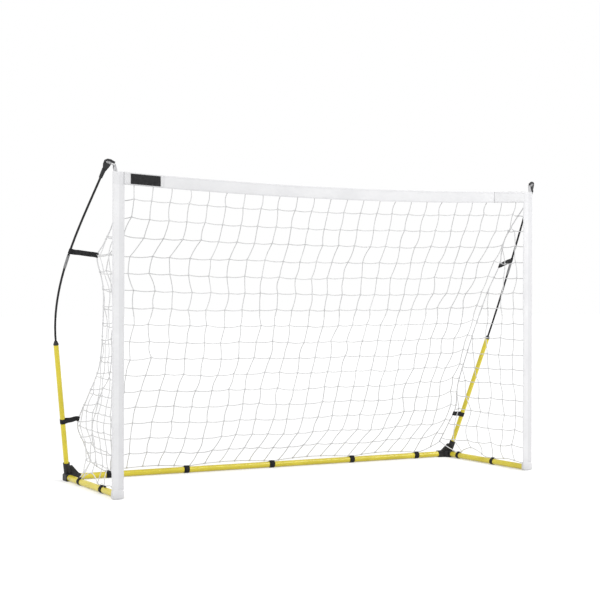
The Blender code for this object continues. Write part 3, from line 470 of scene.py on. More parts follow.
def twisted_twine(name, dark, light, pitch, strands):
    """Twisted or braided cord: slanting strands round its own axis, painted shade in the grooves."""
    look = Look(name)
    around, along = look.cloth_place()
    turns = look.calc("MULTIPLY", around, 2 * math.pi * strands)
    height = look.calc("SINE", look.calc("ADD", turns, look.calc("MULTIPLY", along, 2 * math.pi / pitch)))
    grey = look.ramp(look.noise(6.0, 5.0), 0.3, 0.75)
    # Painted shade: the colour darkens where the strands' height is low, in their grooves.
    groove_shade = look.ramp(height, -1.0, -0.3, 0.35, 0.0)
    colour = look.colours(groove_shade, look.colours(grey, light, dark), dark)
    roughness = look.uneven(90.0, 3.0, 0.70, 0.90)
    return look.finish(colour, roughness, look.bump(height, 0.0004, 0.7), Sheen_Weight=0.1)


def link(name, data):
    made = bpy.data.objects.new(name, data)
    bpy.context.scene.collection.objects.link(made)
    return made


def make_mesh(name, points, faces, places, look):
    """A mesh object with one distance pair, in metres, for each face corner."""
    mesh = bpy.data.meshes.new(name)
    mesh.from_pydata([tuple(point) for point in points], [], faces)
    layer = mesh.uv_layers.new(name="cloth")
    layer.data.foreach_set("uv", [value for face in places for pair in face for value in pair])
    mesh.materials.append(look)
    mesh.shade_smooth()
    mesh.set_sharp_from_angle(angle=SHARP_ANGLE)
    mesh.update()
    return link(name, mesh)


def distances(points):
    """How far along a line each of its points lies."""
    made = [0.0]
    for a, b in zip(points, points[1:]):
        made.append(made[-1] + (b - a).length)
    return made


def sheet_mesh(name, rows, look, thickness, rounded):
    """Cloth through rows of points, with thickness and rounded edges as modifiers."""
    columns = len(rows[0])
    across, along = distances(rows[0]), distances([row[0] for row in rows])
    faces, places = [], []
    for r in range(len(rows) - 1):
        for c in range(columns - 1):
            first = r * columns + c
            faces.append((first, first + columns, first + columns + 1, first + 1))
            corners = ((c, r), (c, r + 1), (c + 1, r + 1), (c + 1, r))
            places.append([(across[i], along[j]) for i, j in corners])
    made = make_mesh(name, [point for row in rows for point in row], faces, places, look)
    solid = made.modifiers.new("thickness", "SOLIDIFY")
    solid.thickness = thickness
    solid.offset = 0.0
    bevel = made.modifiers.new("round", "BEVEL")
    bevel.width = rounded
    bevel.segments = 2
    bevel.limit_method = "ANGLE"
    bevel.angle_limit = ROUNDED_ANGLE
    return made


def cloth_rows(count, steps, place):
    """Rows of points of a cloth, from a function of the shares along and across it."""
    return [[place(row / count, step / steps) for step in range(steps + 1)] for row in range(count + 1)]


def strip(centre, way, width, parts=4):
    """A row of points across a strap."""
    return [centre + way * (width * (step / parts - 0.5)) for step in range(parts + 1)]


def dress(piece, node=None):
    """Hides the node that a piece stands for, if one is given, and gives the piece a ride on the ground
    frame.
    """
    if node:
        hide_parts(node)
    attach(piece, GROUND)


def dress_across(piece, node, start, end):
    """Freezes a piece's modifiers into its mesh, hides the node that it stands for, and bakes its place into
    the mesh.
    """
    graph = bpy.context.evaluated_depsgraph_get()
    mesh = bpy.data.meshes.new_from_object(piece.evaluated_get(graph))
    piece.modifiers.clear()
    piece.data = mesh
    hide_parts(node)
    tuple(start)
    tuple(end)
    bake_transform(piece)


class Bundle:
    """Collects tubes and knots that become one mesh."""

    def __init__(self):
        self.points, self.faces, self.places = [], [], []

    def tube(self, path, radius, sides=6, radii=None):
        lengths = distances(path)
        last = len(path) - 1
        guide = None
        first = len(self.points)
        for index, centre in enumerate(path):
            way = (path[min(index + 1, last)] - path[max(index - 1, 0)]).normalized()
            if guide is None:
                guide = UP if abs(way.z) < 0.9 else Vector((0, 1, 0))
            guide = (guide - way * guide.dot(way)).normalized()
            y = way.cross(guide)
            size = radius * (radii[index] if radii else 1.0)
            for step in range(sides):
                angle = 2 * math.pi * step / sides
                self.points.append(centre + (guide * math.cos(angle) + y * math.sin(angle)) * size)
        for ring in range(last):
            for step in range(sides):
                after = (step + 1) % sides
                a = first + ring * sides
                self.faces.append((a + step, a + after, a + sides + after, a + sides + step))
                low, high = step / sides, (step + 1) / sides
                near, far = lengths[ring], lengths[ring + 1]
                self.places.append([(low, near), (high, near), (high, far), (low, far)])
        for ring, order in ((0, range(sides - 1, -1, -1)), (last, range(sides))):
            self.faces.append(tuple(first + ring * sides + step for step in order))
            self.places.append([(step / sides, lengths[ring]) for step in order])

    def knot(self, centre, radius, way=UP):
        """A small tied lump: two bent loops drawn tight round the crossing."""
        way = way.normalized()
        side = way.cross(Vector((0.3, 1, 0.2))).normalized()
        front = way.cross(side)
        for lean in (-1, 1):
            turn = []
            for step in range(7):
                angle = 2 * math.pi * step / 6
                ring = side * math.cos(angle) + front * math.sin(angle) * 0.8
                turn.append(centre + ring * radius * 0.55 + way * radius * 0.45 * lean * math.cos(angle))
            self.tube(turn, radius * 0.48, 5)

    def make(self, name, look):
        return make_mesh(name, self.points, self.faces, self.places, look)


def wander(seed, scale, amount):
    """A smooth random offset for a place in the net."""
    return (noise.noise(Vector((seed * scale, 3.7, 1.3))) * 2) * amount


def scattered(across, along, height):
    """A knot's own small offset from its place."""
    return Vector((CHANCE.gauss(0, across), CHANCE.gauss(0, along), CHANCE.gauss(0, height))) * KNOT_SCATTER


def string_path(knots, droop, sway):
    """A string through its knots, a little slack between each two."""
    path = []
    for start, end in zip(knots, knots[1:]):
        aside = Vector((CHANCE.gauss(0, 1), CHANCE.gauss(0, 1), 0)) * SLACK * sway
        for step in range(STRING_STEPS):
            t = step / STRING_STEPS
            bow = math.sin(math.pi * t)
            path.append(start.lerp(end, t) - UP * (droop * bow) + aside * bow)
    return [*path, knots[-1]]


def edge_cord_line(side):
    foot = NET_CORNER + UP * (FOOT_CORD_R + EDGE_CORD_R * 0.5 + CLEAR)
    points = [*(Vector(point) for point in EDGE_CORD_POINTS), foot]
    return [mirrored(point, side) for point in smooth_route(points, 8)]


EDGE_LINES = {side: edge_cord_line(side) for side, _ in SIDES}


def edge_point(side, height):
    """The point of a side's edge cord at a height, or its nearer end."""
    line = EDGE_LINES[side]
    return point_where(line, 2, height) or min(line[0], line[-1], key=lambda point: abs(point.z - height))


def rear_foot(x):
    """A point of the cord along the rear bar, which bows up between its straps."""
    place = abs(x)
    half = STRAP_WIDTH / 2
    last = REAR_STRAP_X[-1] + half
    if place > last:
        t = min(1.0, (place - last) / (NET_CORNER.x - last))
        return Vector((x, mix(REAR_Y, NET_CORNER.y, t), mix(CORD_Z, NET_CORNER.z, t ** 1.3)))
    rise = 0.0
    for start, end in zip(REAR_STRAP_X[2:], REAR_STRAP_X[3:]):
        low, high = start + half, end - half
        if low < place < high:
            rise = REAR_RISE * math.sin(math.pi * (place - low) / (high - low)) ** 0.8
    return Vector((x, REAR_Y, CORD_Z + rise))


def side_foot_line(side):
    """A side's foot cord from the net corner to the front pocket, as on the right."""
    rear, front = SIDE_STRAP_Y[side]["rear"], SIDE_STRAP_Y[side]["front"]
    half = STRAP_WIDTH / 2 + STRAP_MARGIN
    pocket = POCKET_HIGH.y + CLEAR

    def lying(y, inward=0.0, rise=0.0):
        return Vector((SIDE_X - inward, y, CORD_Z + rise))

    def humps(start, end, rises):
        return [lying(mix(start, end, share), inward, rise) for share, inward, rise in rises]

    points = [NET_CORNER, NET_CORNER.lerp(lying(rear + half), 0.55) - UP * CORNER_DIP]
    points += [lying(rear + half), lying(rear - half), *humps(rear, front, SIDE_RISES)]
    points += [lying(front + half), lying(front - half), *humps(front, pocket, FRONT_RISES), lying(pocket)]
    return smooth_route(points, 5)


SIDE_FOOT = {side: side_foot_line(side) for side, _ in SIDES}


def side_foot_at(side, y):
    """The point of a side's foot cord at a place along the side bar, as on the right."""
    return point_where(SIDE_FOOT[side], 1, y) or SIDE_FOOT[side][-1]


def net_top(x):
    return Vector((x, NET_TOP_Y, GOAL_HEIGHT - crossbar_drop(x) - BAND_WIDTH + NET_TOP_LAP))


def net_point(share, v):
    """A point of the back net: share runs across from -1 to 1, v from the top down."""
    foot = rear_foot(share * NET_CORNER.x) + UP * (FOOT_CORD_R * 0.4)
    if v >= 1:
        return foot
    point = net_top(share * POST_INNER_X).lerp(foot, v)
    droop = math.sin(math.pi / 2 * min(1.0, v / NET_SAG_FULL)) ** NET_SAG_POWER
    if v > NET_SAG_FULL:
        droop *= (1 - v) / (1 - NET_SAG_FULL)
    point.y -= NET_SAG * droop * (1 - abs(share) ** 4)
    point.y -= NET_TOP_HANG * math.sin(math.pi * min(1.0, v / NET_TOP_SHARE)) * mix(0.25, 1.0, share ** 2)
    pulled = smooth_step(v, 0.05, NET_TOP_SHARE)
    for side, _ in SIDES:
        end = net_top(side * POST_INNER_X).lerp(mirrored(NET_CORNER, side), v)
        pull = edge_point(side, end.z) - end
        weight = ((1 + side * share) / 2) ** 4
        point += pull * weight * (1 - v ** 12) * pulled
    return point


def row_share(row):
    """How far down the net a row of knots lies; the first row of cells is lower."""
    if row == 0:
        return 0.0
    return (row - 1 + NET_FIRST_ROW) / (NET_ROWS - 1 + NET_FIRST_ROW)


def back_net_knots():
    """The knots of the back net, row by row, each a little out of place."""
    half = NET_STRINGS // 2
    rows = []
    for row in range(NET_ROWS + 1):
        v = row_share(row)
        made = []
        drift = wander(row, 0.61, STRING_WANDER)
        for index in range(NET_STRINGS):
            point = net_point((index - half + 0.5) / half, v)
            own = scattered(1, 1, 0.6) * 0.8
            own.x += drift + wander(index * 0.7 + row * 2.1, 0.9, STRING_WANDER * 0.7)
            own.y += wander(index * 0.5 + row * 1.3, 0.7, STRING_WANDER * 0.8)
            made.append(point + own * math.sin(math.pi * v) ** 0.5)
        rows.append(made)
    return rows


def build_back_net(look):
    bundle = Bundle()
    rows = back_net_knots()
    for column in range(NET_STRINGS):
        bundle.tube(string_path([row[column] for row in rows], 0.0, UPRIGHT_SWAY), TWINE_R)
    for row in rows[1:-1]:
        height = sum(point.z for point in row) / len(row)
        outer = ((-1, row[0]), (1, row[-1]))
        ends = [edge_point(side, mix(knot.z, height, 0.3)) for side, knot in outer]
        bundle.tube(string_path([ends[0], *row, ends[1]], SLACK, ROW_SWAY), TWINE_R)
        for point, above in zip(row, rows[0]):
            bundle.knot(point, KNOT_R, above - point)
        for point in ends:
            bundle.knot(point, KNOT_R * 1.3)
    for point in rows[-1]:
        bundle.knot(point, KNOT_R * 1.25, Vector((1, 0, 0)))
    dress(bundle.make("back_net", look), "net_back")


def plan_length(a, b):
    return math.hypot(a.x - b.x, a.y - b.y)


def side_net_front(height):
    return Vector((POST_X, SIDE_NET_Y, height))


def side_net_point(side, reach, height):
    """A point of a side net, reach away from the post at a height, as on the right."""
    front = side_net_front(height)
    rear = edge_point(1, height)
    point = front.lerp(rear, min(1.0, reach / plan_length(front, rear)))
    if height < SIDE_NET_LOW_ROW:
        foot = side_foot_at(side, MOUTH_Y + reach)
        share = (SIDE_NET_LOW_ROW - height) / (SIDE_NET_LOW_ROW - foot.z)
        point.x = mix(point.x, foot.x, min(1.0, share) ** 1.2)
    return point


def edge_height(reach):
    """The height at which the side net is just as deep as reach."""
    for point in EDGE_LINES[1]:
        if plan_length(side_net_front(point.z), point) >= reach:
            return point.z
    return NET_CORNER.z


def build_side_net(side, name, look):
    bundle = Bundle()
    levels = [mix(GOAL_HEIGHT - BAND_WIDTH, CORD_Z, row_share(row)) for row in range(1, NET_ROWS)]
    reaches = [SIDE_NET_PITCH * count for count in range(1, SIDE_NET_COLUMNS + 1)]
    knots = {}
    for row, level in enumerate(levels):
        for column, reach in enumerate(reaches):
            if edge_height(reach) > level + KNOT_BELOW_EDGE:
                own = scattered(1, 1.2, 0.7)
                own.y += wander(row * 1.7 + column * 0.6, 0.8, STRING_WANDER * 0.6)
                knots[row, column] = side_net_point(side, reach, level) + own

    def string(line, droop, sway):
        bundle.tube([mirrored(point, side) for point in string_path(line, droop, sway)], TWINE_R)

    for column, reach in enumerate(reaches):
        top = edge_point(1, edge_height(reach))
        foot = side_foot_at(side, MOUTH_Y + reach)
        line = [point for place, point in knots.items() if place[1] == column]
        string([top, *line, foot], 0.0, UPRIGHT_SWAY)
        bundle.knot(mirrored(top, side), KNOT_R * 1.2)
        bundle.knot(mirrored(foot, side), KNOT_R * 1.25, Vector((0, 1, 0)))
    for row, level in enumerate(levels):
        front = side_net_front(level)
        rear = edge_point(1, level)
        if plan_length(front, rear) >= SHORTEST_ROW:
            line = [point for place, point in knots.items() if place[0] == row]
            string([front, *line, rear], SLACK, ROW_SWAY)
    for point in knots.values():
        bundle.knot(mirrored(point, side), KNOT_R)
    dress(bundle.make(f"side_net_{name}", look), f"net_side_{name}")


def build_cords(look):
    for side, name in SIDES:
        bundle = Bundle()
        bundle.tube(EDGE_LINES[side], EDGE_CORD_R, 10)
        bundle.knot(EDGE_LINES[side][-1], EDGE_CORD_R * 2.0)
        dress(bundle.make(f"edge_cord_{name}", look), f"net_edge_cord_{name}")
    steps = 150
    rear = [rear_foot(mix(-NET_CORNER.x, NET_CORNER.x, step / steps)) for step in range(steps + 1)]
    left = [mirrored(point, -1) for point in SIDE_FOOT[-1][:0:-1]]
    bundle = Bundle()
    bundle.tube([*left, *rear, *SIDE_FOOT[1][1:]], FOOT_CORD_R, 8)
    tie = mirrored(side_foot_at(-1, STOPPER_TIE_Y), -1)
    string = [tie, tie.lerp(STOPPER, 0.4) + UP * 0.012, tie.lerp(STOPPER, 0.8) + UP * 0.006, STOPPER]
    bundle.tube(smooth_route(string, 4), FOOT_CORD_R * 0.45, 6)
    dress(bundle.make("foot_cord", look), "net_foot_cord")


def build_stopper(look):
    """The small barrel with a button end, lying on the side bar beside the cord."""
    bundle = Bundle()
    way = Vector((0.15, -1, -0.05)).normalized()
    path = [STOPPER + way * (STOPPER_LENGTH * (share - 0.5)) for share, _ in STOPPER_PROFILE]
    bundle.tube(path, 1.0, 16, [radius for _, radius in STOPPER_PROFILE])
    dress(bundle.make("cord_stopper", look))


def band_y(bulge, across, ripple_x, ripple_z):
    """The depth of the band's cloth, with its bulge and lengthwise ripples."""
    ripple = noise.noise(Vector((ripple_x * 9.0, ripple_z * 3.0, 5.1))) * BAND_RIPPLE
    return MOUTH_Y - math.sin(math.pi * across) * bulge + ripple


def build_crossbar(look):
    end = POST_INNER_X - CLEAR

    def place(along, across):
        x = mix(-end, end, along)
        z = GOAL_HEIGHT - crossbar_drop(x) - BAND_WIDTH * across
        return Vector((x, band_y(CROSSBAR_BULGE, across, z, x), z))

    rows = cloth_rows(120, 10, place)
    band = sheet_mesh("crossbar_cloth", rows, look, BAND_THICK * CLOTH_SHARE, CLOTH_ROUND)
    dress(band, "crossbar_band")


def build_post(side, name, look):
    foot = POCKET_HIGH.z - FOOT_LAP

    def place(down, across):
        x = POST_X - BAND_WIDTH / 2 + BAND_WIDTH * across
        z = mix(GOAL_HEIGHT, foot, down)
        return mirrored(Vector((x, band_y(POST_BULGE, across, x, z), z)), side)

    rows = [row[::side] for row in cloth_rows(90, 14, place)]
    band = sheet_mesh(f"post_cloth_{name}", rows, look, BAND_THICK * CLOTH_SHARE, CLOTH_ROUND)
    dress(band, f"post_band_{name}")


def build_foot(side, name, look):
    """The sewn pocket that the end of the side bar sits in, rounded like a toe."""
    bore = TUBE_R + CLEAR * 2
    rings = [
        (POST_X, (low + high) / 2, half, (high - low) / 2, POCKET_LOW.y + depth, FOOT_SQUARED)
        for depth, low, high, half in FOOT_RINGS
    ]
    rings += [(SIDE_X, BASE_Z, bore, bore, y, 1.0) for y in (POCKET_HIGH.y, POCKET_LOW.y + FOOT_FRONT)]
    points, faces, places = [], [], []
    for x, z, wide, high, y, power in rings:
        for step in range(FOOT_STEPS):
            angle = 2 * math.pi * step / FOOT_STEPS
            c, s = (math.copysign(abs(value) ** power, value) for value in (math.cos(angle), math.sin(angle)))
            points.append(mirrored(Vector((x + wide * c, y, z + high * s)), side))
    for ring in range(len(rings) - 1):
        for step in range(FOOT_STEPS):
            after = (step + 1) % FOOT_STEPS
            a, b = ring * FOOT_STEPS, (ring + 1) * FOOT_STEPS
            faces.append((a + step, b + step, b + after, a + after)[::side])
            low, high = step * FOOT_CELL, (step + 1) * FOOT_CELL
            near, far = ring * FOOT_CELL, ring * FOOT_CELL + FOOT_CELL
            places.append([(low, near), (low, far), (high, far), (high, near)][::side])
    for ring, turn in ((0, side), (len(rings) - 1, -side)):
        faces.append(tuple(ring * FOOT_STEPS + step for step in range(FOOT_STEPS))[::turn])
        places.append([(0.03, 0.03)] * FOOT_STEPS)
    foot = make_mesh(f"foot_cloth_{name}", points, faces, places, look)
    dress(foot, f"foot_pocket_{name}")


def follow_band(name, ends, drop, height, y, thickness, bulge, look):
    """A piece of cloth sewn to the front of the crossbar band."""

    def place(along, across):
        x = mix(*ends, along)
        z = GOAL_HEIGHT - crossbar_drop(x) - drop - height * across
        return Vector((x, y - bulge * math.sin(math.pi * across) * math.sin(math.pi * along), z))

    return sheet_mesh(name, cloth_rows(28, 6, place), look, thickness, thickness * 0.3)


def build_patches(look, label_look):
    y = middle("crossbar_patch_right", 1) - PATCH_FORWARD
    thickness = (PATCH_HIGH.y - PATCH_LOW.y) * CLOTH_SHARE
    height = BAND_WIDTH - 2 * PATCH_MARGIN
    for side, name in SIDES:
        ends = sorted((side * PATCH_LOW.x, side * (PATCH_HIGH.x + PATCH_LAP)))
        piece = f"patch_cloth_{name}"
        patch = follow_band(piece, ends, PATCH_MARGIN, height, y, thickness, PATCH_BULGE, look)
        dress(patch, f"crossbar_patch_{name}")
    y = middle("crossbar_label", 1) - LABEL_FORWARD
    drop = (BAND_WIDTH - LABEL_HEIGHT) / 2
    thickness = LABEL_HIGH.y - LABEL_LOW.y
    ends = (LABEL_LOW.x - LABEL_SHIFT, LABEL_HIGH.x - LABEL_SHIFT)
    label = follow_band("label_cloth", ends, drop, LABEL_HEIGHT, y, thickness, LABEL_BULGE, label_look)
    dress(label, "crossbar_label")


def arc(radius, start, end, steps):
    """Points round a part of a circle, from one angle to another."""
    angles = [start + (end - start) * step / steps for step in range(steps + 1)]
    return [(radius * math.cos(angle), radius * math.sin(angle)) for angle in angles]


def belt_line(big_r, small_r, distance):
    """Points tight round two circles, one above the other, from the foot on."""
    tilt = math.acos((big_r - small_r) / distance)
    big = [(x, z) for z, x in arc(big_r, tilt, 2 * math.pi - tilt, 28)]
    small = [(x, distance + z) for z, x in arc(small_r, -tilt, tilt, 4)]
    half = len(big) // 2
    return [*big[half:], *small, *big[:half]]


def wrap_strap(name, centre, along, lean, look, turn=1):
    """A hook-and-loop strap wound round a tube and cord, its end lapped over."""
    base = TUBE_R + CLEAR + WRAP_THICK / 2
    cord = FOOT_CORD_R + CLEAR + WRAP_THICK / 2
    distance = TUBE_R + CLEAR + FOOT_CORD_R
    inner, outer = (belt_line(base + ply, cord + ply, distance) for ply in (0, WRAP_PLY))
    lap, start = len(inner) // 3, len(inner) // 6
    loop = [*inner[start:], *inner[:start], *outer[start + 2 : start + lap]]
    along = Vector(along)
    across = UP.cross(along)
    rows = []
    for index, (x, z) in enumerate(loop):
        shift = lean * (index / (len(loop) - 1) - 0.5)
        rows.append(strip(centre + across * (x * turn) + UP * z + along * shift, along, STRAP_WIDTH))
    return sheet_mesh(name, rows, look, WRAP_THICK, WEBBING_ROUND)


def build_ground_straps(look):
    for index, x in enumerate(REAR_STRAP_X, 1):
        lean = CHANCE.uniform(0.003, 0.009)
        strap = wrap_strap(f"rear_wrap_{index}", Vector((x, REAR_Y, BASE_Z)), (1, 0, 0), lean, look)
        dress(strap, f"rear_strap_{index}")
    for side, name in SIDES:
        for place, y in SIDE_STRAP_Y[side].items():
            lean = CHANCE.uniform(0.005, 0.010)
            centre = Vector((side * SIDE_X, y, BASE_Z))
            strap = wrap_strap(f"side_wrap_{place}_{name}", centre, (0, 1, 0), lean, look, side)
            dress(strap, f"side_strap_{place}_{name}")


def cut_box(name, level):
    """The corners of the outline in which a level plane cuts a node."""
    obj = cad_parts[name]
    points = [obj.matrix_world @ vertex.co for vertex in obj.data.vertices]
    crossings = []
    for edge in obj.data.edges:
        a, b = (points[index] for index in edge.vertices)
        if (a.z - level) * (b.z - level) < 0:
            crossings.append(a.lerp(b, (level - a.z) / (b.z - a.z)))
    across, deep = [point.x for point in crossings], [point.y for point in crossings]
    return Vector((min(across), min(deep), level)), Vector((max(across), max(deep), level))


def pole_axis(name, height):
    """The middle, direction and radius of a pole or tube at a height."""
    step = 0.012
    low_cut, high_cut = cut_box(name, height - step), cut_box(name, height + step)
    below = (low_cut[0] + low_cut[1]) / 2
    above = (high_cut[0] + high_cut[1]) / 2
    way = (above - below).normalized()
    slant = Vector((way.x, 0, way.z)).normalized().z
    return (above + below) / 2, way, (high_cut[1].x - high_cut[0].x) / 2 * slant


def loop_past(radius, half, steps):
    """Points round a circle that leave it to run on side by side, from +n to -n."""
    near = radius * LOOP_NEAR
    reach = math.hypot(near, half)
    start = math.atan2(half, near) + math.acos(radius / reach)
    return [(near, half), *arc(radius, start, 2 * math.pi - start, steps), (near, -half)]


def strap_outline(pole_r, cord_r, reach):
    """The strap from the side: round the cord, along, round the pole, and lapped."""
    ply = POLE_STRAP_PLY + PLY_GAP
    half = ply / 2
    cord = [(reach - u, n) for u, n in loop_past(cord_r + CLEAR + half, half, 12)]
    pole = loop_past(pole_r + CLEAR + half, half, 20)
    line = [(mix(pole[0][0] + POLE_STRAP_START, cord[-1][0], t / 8), -half) for t in range(8)]
    line += cord[::-1]
    line += [(mix(cord[0][0], pole[0][0], t / 9), half) for t in range(1, 9)]
    line += pole[:-1]
    lapped = -half - ply
    line += [(mix(pole[-1][0], reach * POLE_STRAP_LAP, t / 6), lapped) for t in range(1, 7)]
    return line


def build_pole_strap(side, name, label, look):
    """The webbing strap from the pole to the net's edge cord, with its end lapped."""
    cord_z, pole_z = POLE_STRAP_ENDS[label, side]
    tube = {"upper": f"pole_upper_{name}", "lower": f"upright_tube_{name}"}[label]
    root, pole_way, pole_r = pole_axis(tube, pole_z)
    tie, above, below = (edge_point(side, cord_z + shift) for shift in (0, 0.015, -0.015))
    cord_way = (above - below).normalized()
    straight = tie - root
    reach = straight.length
    leave = (straight - pole_way * straight.dot(pole_way)).normalized()
    arrive = (straight - cord_way * straight.dot(cord_way)).normalized()
    turn_length = min(reach * 0.45, (pole_r + CLEAR) * LOOP_NEAR + POLE_STRAP_TURN)

    def frame_at(u):
        """The strap's middle and its two cross directions, u along from the pole."""
        if u <= 0:
            return root + leave * u, leave, pole_way
        if u >= reach:
            return tie + arrive * (u - reach), arrive, cord_way
        near, far = 1 - smooth_step(u, 0, turn_length), smooth_step(u, reach - turn_length, reach)
        centre = root.lerp(tie, u / reach)
        centre += (root + leave * u - centre) * near + (tie - arrive * (reach - u) - centre) * far
        way = (straight.normalized() * (1 - near - far) + leave * near + arrive * far).normalized()
        wide = UP * (1 - near - far) + pole_way * near + cord_way * far
        return centre, way, (wide - way * wide.dot(way)).normalized()

    rows = []
    for u, n in strap_outline(pole_r, EDGE_CORD_R, reach):
        centre, way, wide = frame_at(u)
        rows.append(strip(centre + way.cross(wide) * n, wide, STRAP_WIDTH))
    strap = sheet_mesh(f"pole_wrap_{label}_{name}", rows, look, POLE_STRAP_PLY, WEBBING_ROUND)
    end = frame_at((pole_r + CLEAR) * 2.2)[0]
    dress_across(strap, f"pole_strap_{label}_{name}", tie, end)


def build_corner_tab(side, name, look):
    """The tab sewn to the post's top corner and looped over the hook of the cap."""
    vectors = (CAP_PLACE, CAP_INWARD, CAP_UP, CAP_INWARD.cross(CAP_UP), TAB_FOOT)
    origin, inward, up, out, foot = (mirrored(vector, side) for vector in vectors)
    loop = [origin + inward * p + up * q for p, q in TAB_LOOP]
    ply = Vector((0, TAB_PLY, 0))
    middles = [foot - ply * 0.55, foot.lerp(loop[0], 0.5) - ply / 2, *loop]
    middles += [loop[-1].lerp(foot, 0.5) + ply, foot + ply * 0.55]
    level = Vector((-side, 0, 0))
    rows = []
    for centre in smooth_route(middles, 4):
        share = min(1.0, (centre - foot).length / TAB_NARROWS)
        half = (level * (TAB_FOOT_WIDTH / 2)).lerp(out * (TAB_SLOT_WIDTH / 2), share)
        rows.append(strip(centre, half, 2))
    tab = sheet_mesh(f"corner_loop_{name}", rows, look, TAB_PLY, WEBBING_ROUND)
    hook = origin + inward * HOOK[0] + up * HOOK[1]
    dress_across(tab, f"corner_tab_{name}", foot, hook)


def build_leaf_spring(node, out, look):
    """A bent leaf of spring steel behind a snap button, with its open end there."""
    low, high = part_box(node)
    centre = (low + high) / 2
    button = sum(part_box(node.replace("snap_spring", "snap_button")), Vector()) / 2
    out = Vector(out)
    size = high - low
    along = Vector((0, 1, 0)) if abs(out.x) > 0.5 else Vector((1, 0, 0))
    if (button - centre).dot(along) < 0:
        along = -along
    half = abs(out.dot(size)) / 2 - LEAF_THICK / 2
    length = abs(along.dot(size))
    path = [(length / 2, -half), (length / 6, -half), (-length / 2 + half, -half)]
    for step in range(1, 12):
        angle = -math.pi / 2 - math.pi * step / 12
        path.append((-length / 2 + half + (half - LEAF_THICK / 2) * math.cos(angle), half * math.sin(angle)))
    path += [(-length / 2 + half, half), (length / 6, half), (length / 2, half)]
    rows = [strip(centre + along * p + out * n, UP, LEAF_WIDTH, 2) for p, n in path]
    leaf = sheet_mesh(node.replace("snap_spring", "leaf_spring"), rows, look, LEAF_THICK, LEAF_ROUND)
    dress_across(leaf, node, centre - out * half, centre + out * half)


# A width far past the cloth's own, for the tab and the foot, sews one edge alone
LOOKS = {
    "yellow": painted_tube(),
    "plastic": moulded_plastic(),
    "rod": pultruded_rod(),
    "ferrule": drawn_metal("satin_ferrule", (0.13, 0.13, 0.135), (0.24, 0.24, 0.245), 0.26, 0.46),
    "steel": drawn_metal("zinc_plated_steel", (0.36, 0.36, 0.37), (0.60, 0.60, 0.61), 0.24, 0.42),
    "leaf": drawn_metal("blued_spring_steel", (0.10, 0.11, 0.13), (0.24, 0.25, 0.28), 0.24, 0.42),
    # Painted shade: the white tab webbing is given grey colours for the shadow in the cap's slot.
    "tab": webbing("tab_webbing_painted_shade", (0.42, 0.42, 0.43), (0.62, 0.62, 0.63), 1.0, 0.0016),
    "post": band_cloth("white_post_cloth", BAND_WIDTH, 0.95, POST_SHADED_DOUBLED, BAND_WIDTH),
    "band": band_cloth("white_crossbar_cloth", BAND_WIDTH, 0.915),
    "patch": band_cloth("white_patch_cloth", BAND_WIDTH - 2 * PATCH_MARGIN, 0.865),
    # Painted shade: the foot's white cloth gets a lower tone so its up-facing rounding stays as grey as the
    # post.
    "foot": band_cloth("foot_cloth_painted_shade", 10.0, 0.83),
    "label": webbing("black_label_cloth", (0.010, 0.010, 0.011), (0.024, 0.024, 0.025), LABEL_HEIGHT, 0.0009),
    "strap": webbing("black_strap_webbing", (0.006, 0.006, 0.007), (0.022, 0.022, 0.023), STRAP_WIDTH),
    "twine": twisted_twine("white_net_twine", (0.59, 0.59, 0.595), (0.73, 0.73, 0.735), 0.006, 3),
    "cord": twisted_twine("white_edge_cord", (0.60, 0.60, 0.61), (0.78, 0.78, 0.79), 0.008, 4),
}

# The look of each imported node, by the start of its name
NODE_LOOKS = {
    "yellow": ("rear_bar_", "side_bar_left", "side_bar_right", "upright_tube_"),
    "plastic": ("side_bar_plug_", "corner_hub_", "pole_collar_", "pole_cap_"),
    "rod": ("pole_lower_", "pole_upper_"),
    "ferrule": ("pole_ferrule_",),
    "steel": ("rear_coupler_", "snap_"),
}
for node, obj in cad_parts.items():
    for look, starts in NODE_LOOKS.items():
        if node.startswith(starts):
            obj.data.materials.clear()
            obj.data.materials.append(LOOKS[look])

build_crossbar(LOOKS["band"])
for side, name in SIDES:
    build_post(side, name, LOOKS["post"])
    build_foot(side, name, LOOKS["foot"])
build_patches(LOOKS["patch"], LOOKS["label"])
build_cords(LOOKS["cord"])
build_stopper(LOOKS["plastic"])
build_ground_straps(LOOKS["strap"])
build_back_net(LOOKS["twine"])
for side, name in SIDES:
    build_side_net(side, name, LOOKS["twine"])
    for label in ("upper", "lower"):
        build_pole_strap(side, name, label, LOOKS["strap"])
    build_corner_tab(side, name, LOOKS["tab"])
    build_leaf_spring(f"snap_spring_side_{name}", (side, 0, 0), LOOKS["leaf"])
    build_leaf_spring(f"snap_spring_rear_{name}", (0, 1, 0), LOOKS["leaf"])


def build_camera():
    """The camera, turned as the picture was taken."""
    yaw, pitch, roll = (math.radians(angle) for angle in CAMERA_TURN)
    forward = Vector((math.sin(yaw) * math.cos(pitch), math.cos(yaw) * math.cos(pitch), math.sin(pitch)))
    level = forward.cross(UP).normalized()
    right = level * math.cos(roll) + level.cross(forward) * math.sin(roll)
    data = bpy.data.cameras.new("camera")
    data.sensor_width = CAMERA_SENSOR
    data.lens = CAMERA_LENS
    camera = link("camera", data)
    turn = Matrix((right, right.cross(forward), -forward)).transposed().to_4x4()
    camera.matrix_world = Matrix.Translation(CAMERA_PLACE) @ turn
    bpy.context.scene.camera = camera


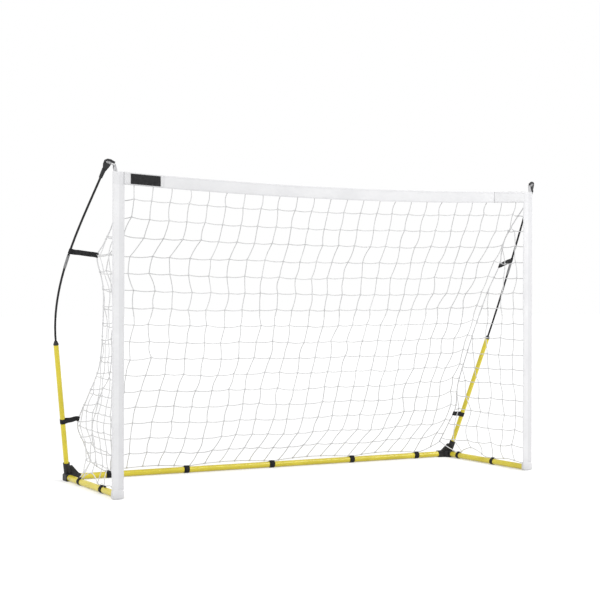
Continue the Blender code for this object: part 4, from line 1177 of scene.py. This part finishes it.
def background_rays(tree):
    """One for a ray that shows the background: seen straight, in gloss or through glass."""
    kinds = add_node(tree, "LightPath", {}).outputs
    seen = kinds["Is Camera Ray"]
    for kind in ("Is Glossy Ray", "Is Transmission Ray"):
        seen = add_node(tree, "Math", {0: seen, 1: kinds[kind]}, operation="MAXIMUM").outputs[0]
    return seen


def build_floor():
    """A pale floor that shows white and keeps the goal's soft shadow."""
    look = Look("pale_floor")
    matt = {"Base Color": (0.80, 0.80, 0.80), "Roughness": 0.95, "Specular IOR Level": 0.1}
    feed(look.tree, look.shader, matt)
    away = look.add("VectorMath", {0: look.place.outputs["Object"]}, operation="LENGTH").outputs["Value"]
    strength = look.calc("MULTIPLY", background_rays(look.tree), look.ramp(away, *FLOOR_GLOW))
    glow = look.add("Emission", {"Color": (1.0, 1.0, 1.0), "Strength": strength})
    total = look.add("AddShader", {0: look.shader.outputs[0], 1: glow.outputs[0]})
    feed(look.tree, look.tree.nodes["Material Output"], {"Surface": total.outputs[0]})
    mesh = bpy.data.meshes.new("floor")
    corners = [(x * FLOOR_HALF, y * FLOOR_HALF, 0) for x, y in ((-1, -1), (1, -1), (1, 1), (-1, 1))]
    mesh.from_pydata(corners, [], [(0, 1, 2, 3)])
    mesh.materials.append(look.material)
    link("floor", mesh)


def build_world():
    """White where a ray shows the background, and a soft even sky elsewhere."""
    world = bpy.data.worlds.new("studio")
    bpy.context.scene.world = world
    world.use_nodes = True
    tree = world.node_tree
    inputs = {"Value": background_rays(tree), "To Min": SKY_STRENGTH, "To Max": 1.0}
    strength = add_node(tree, "MapRange", inputs).outputs[0]
    feed(tree, tree.nodes["Background"], {"Color": (1.0, 1.0, 1.0), "Strength": strength})


def build_lamps():
    for name, place, watts in LAMPS:
        data = bpy.data.lights.new(name, "AREA")
        data.size = LAMP_SIZE
        data.energy = watts
        light = link(name, data)
        light.location = place
        light.rotation_mode = "QUATERNION"
        light.rotation_quaternion = (LAMP_TARGET - light.location).to_track_quat("-Z", "Y")


build_camera()
build_floor()
build_world()
build_lamps()
bpy.context.scene.view_settings.view_transform = "Standard"
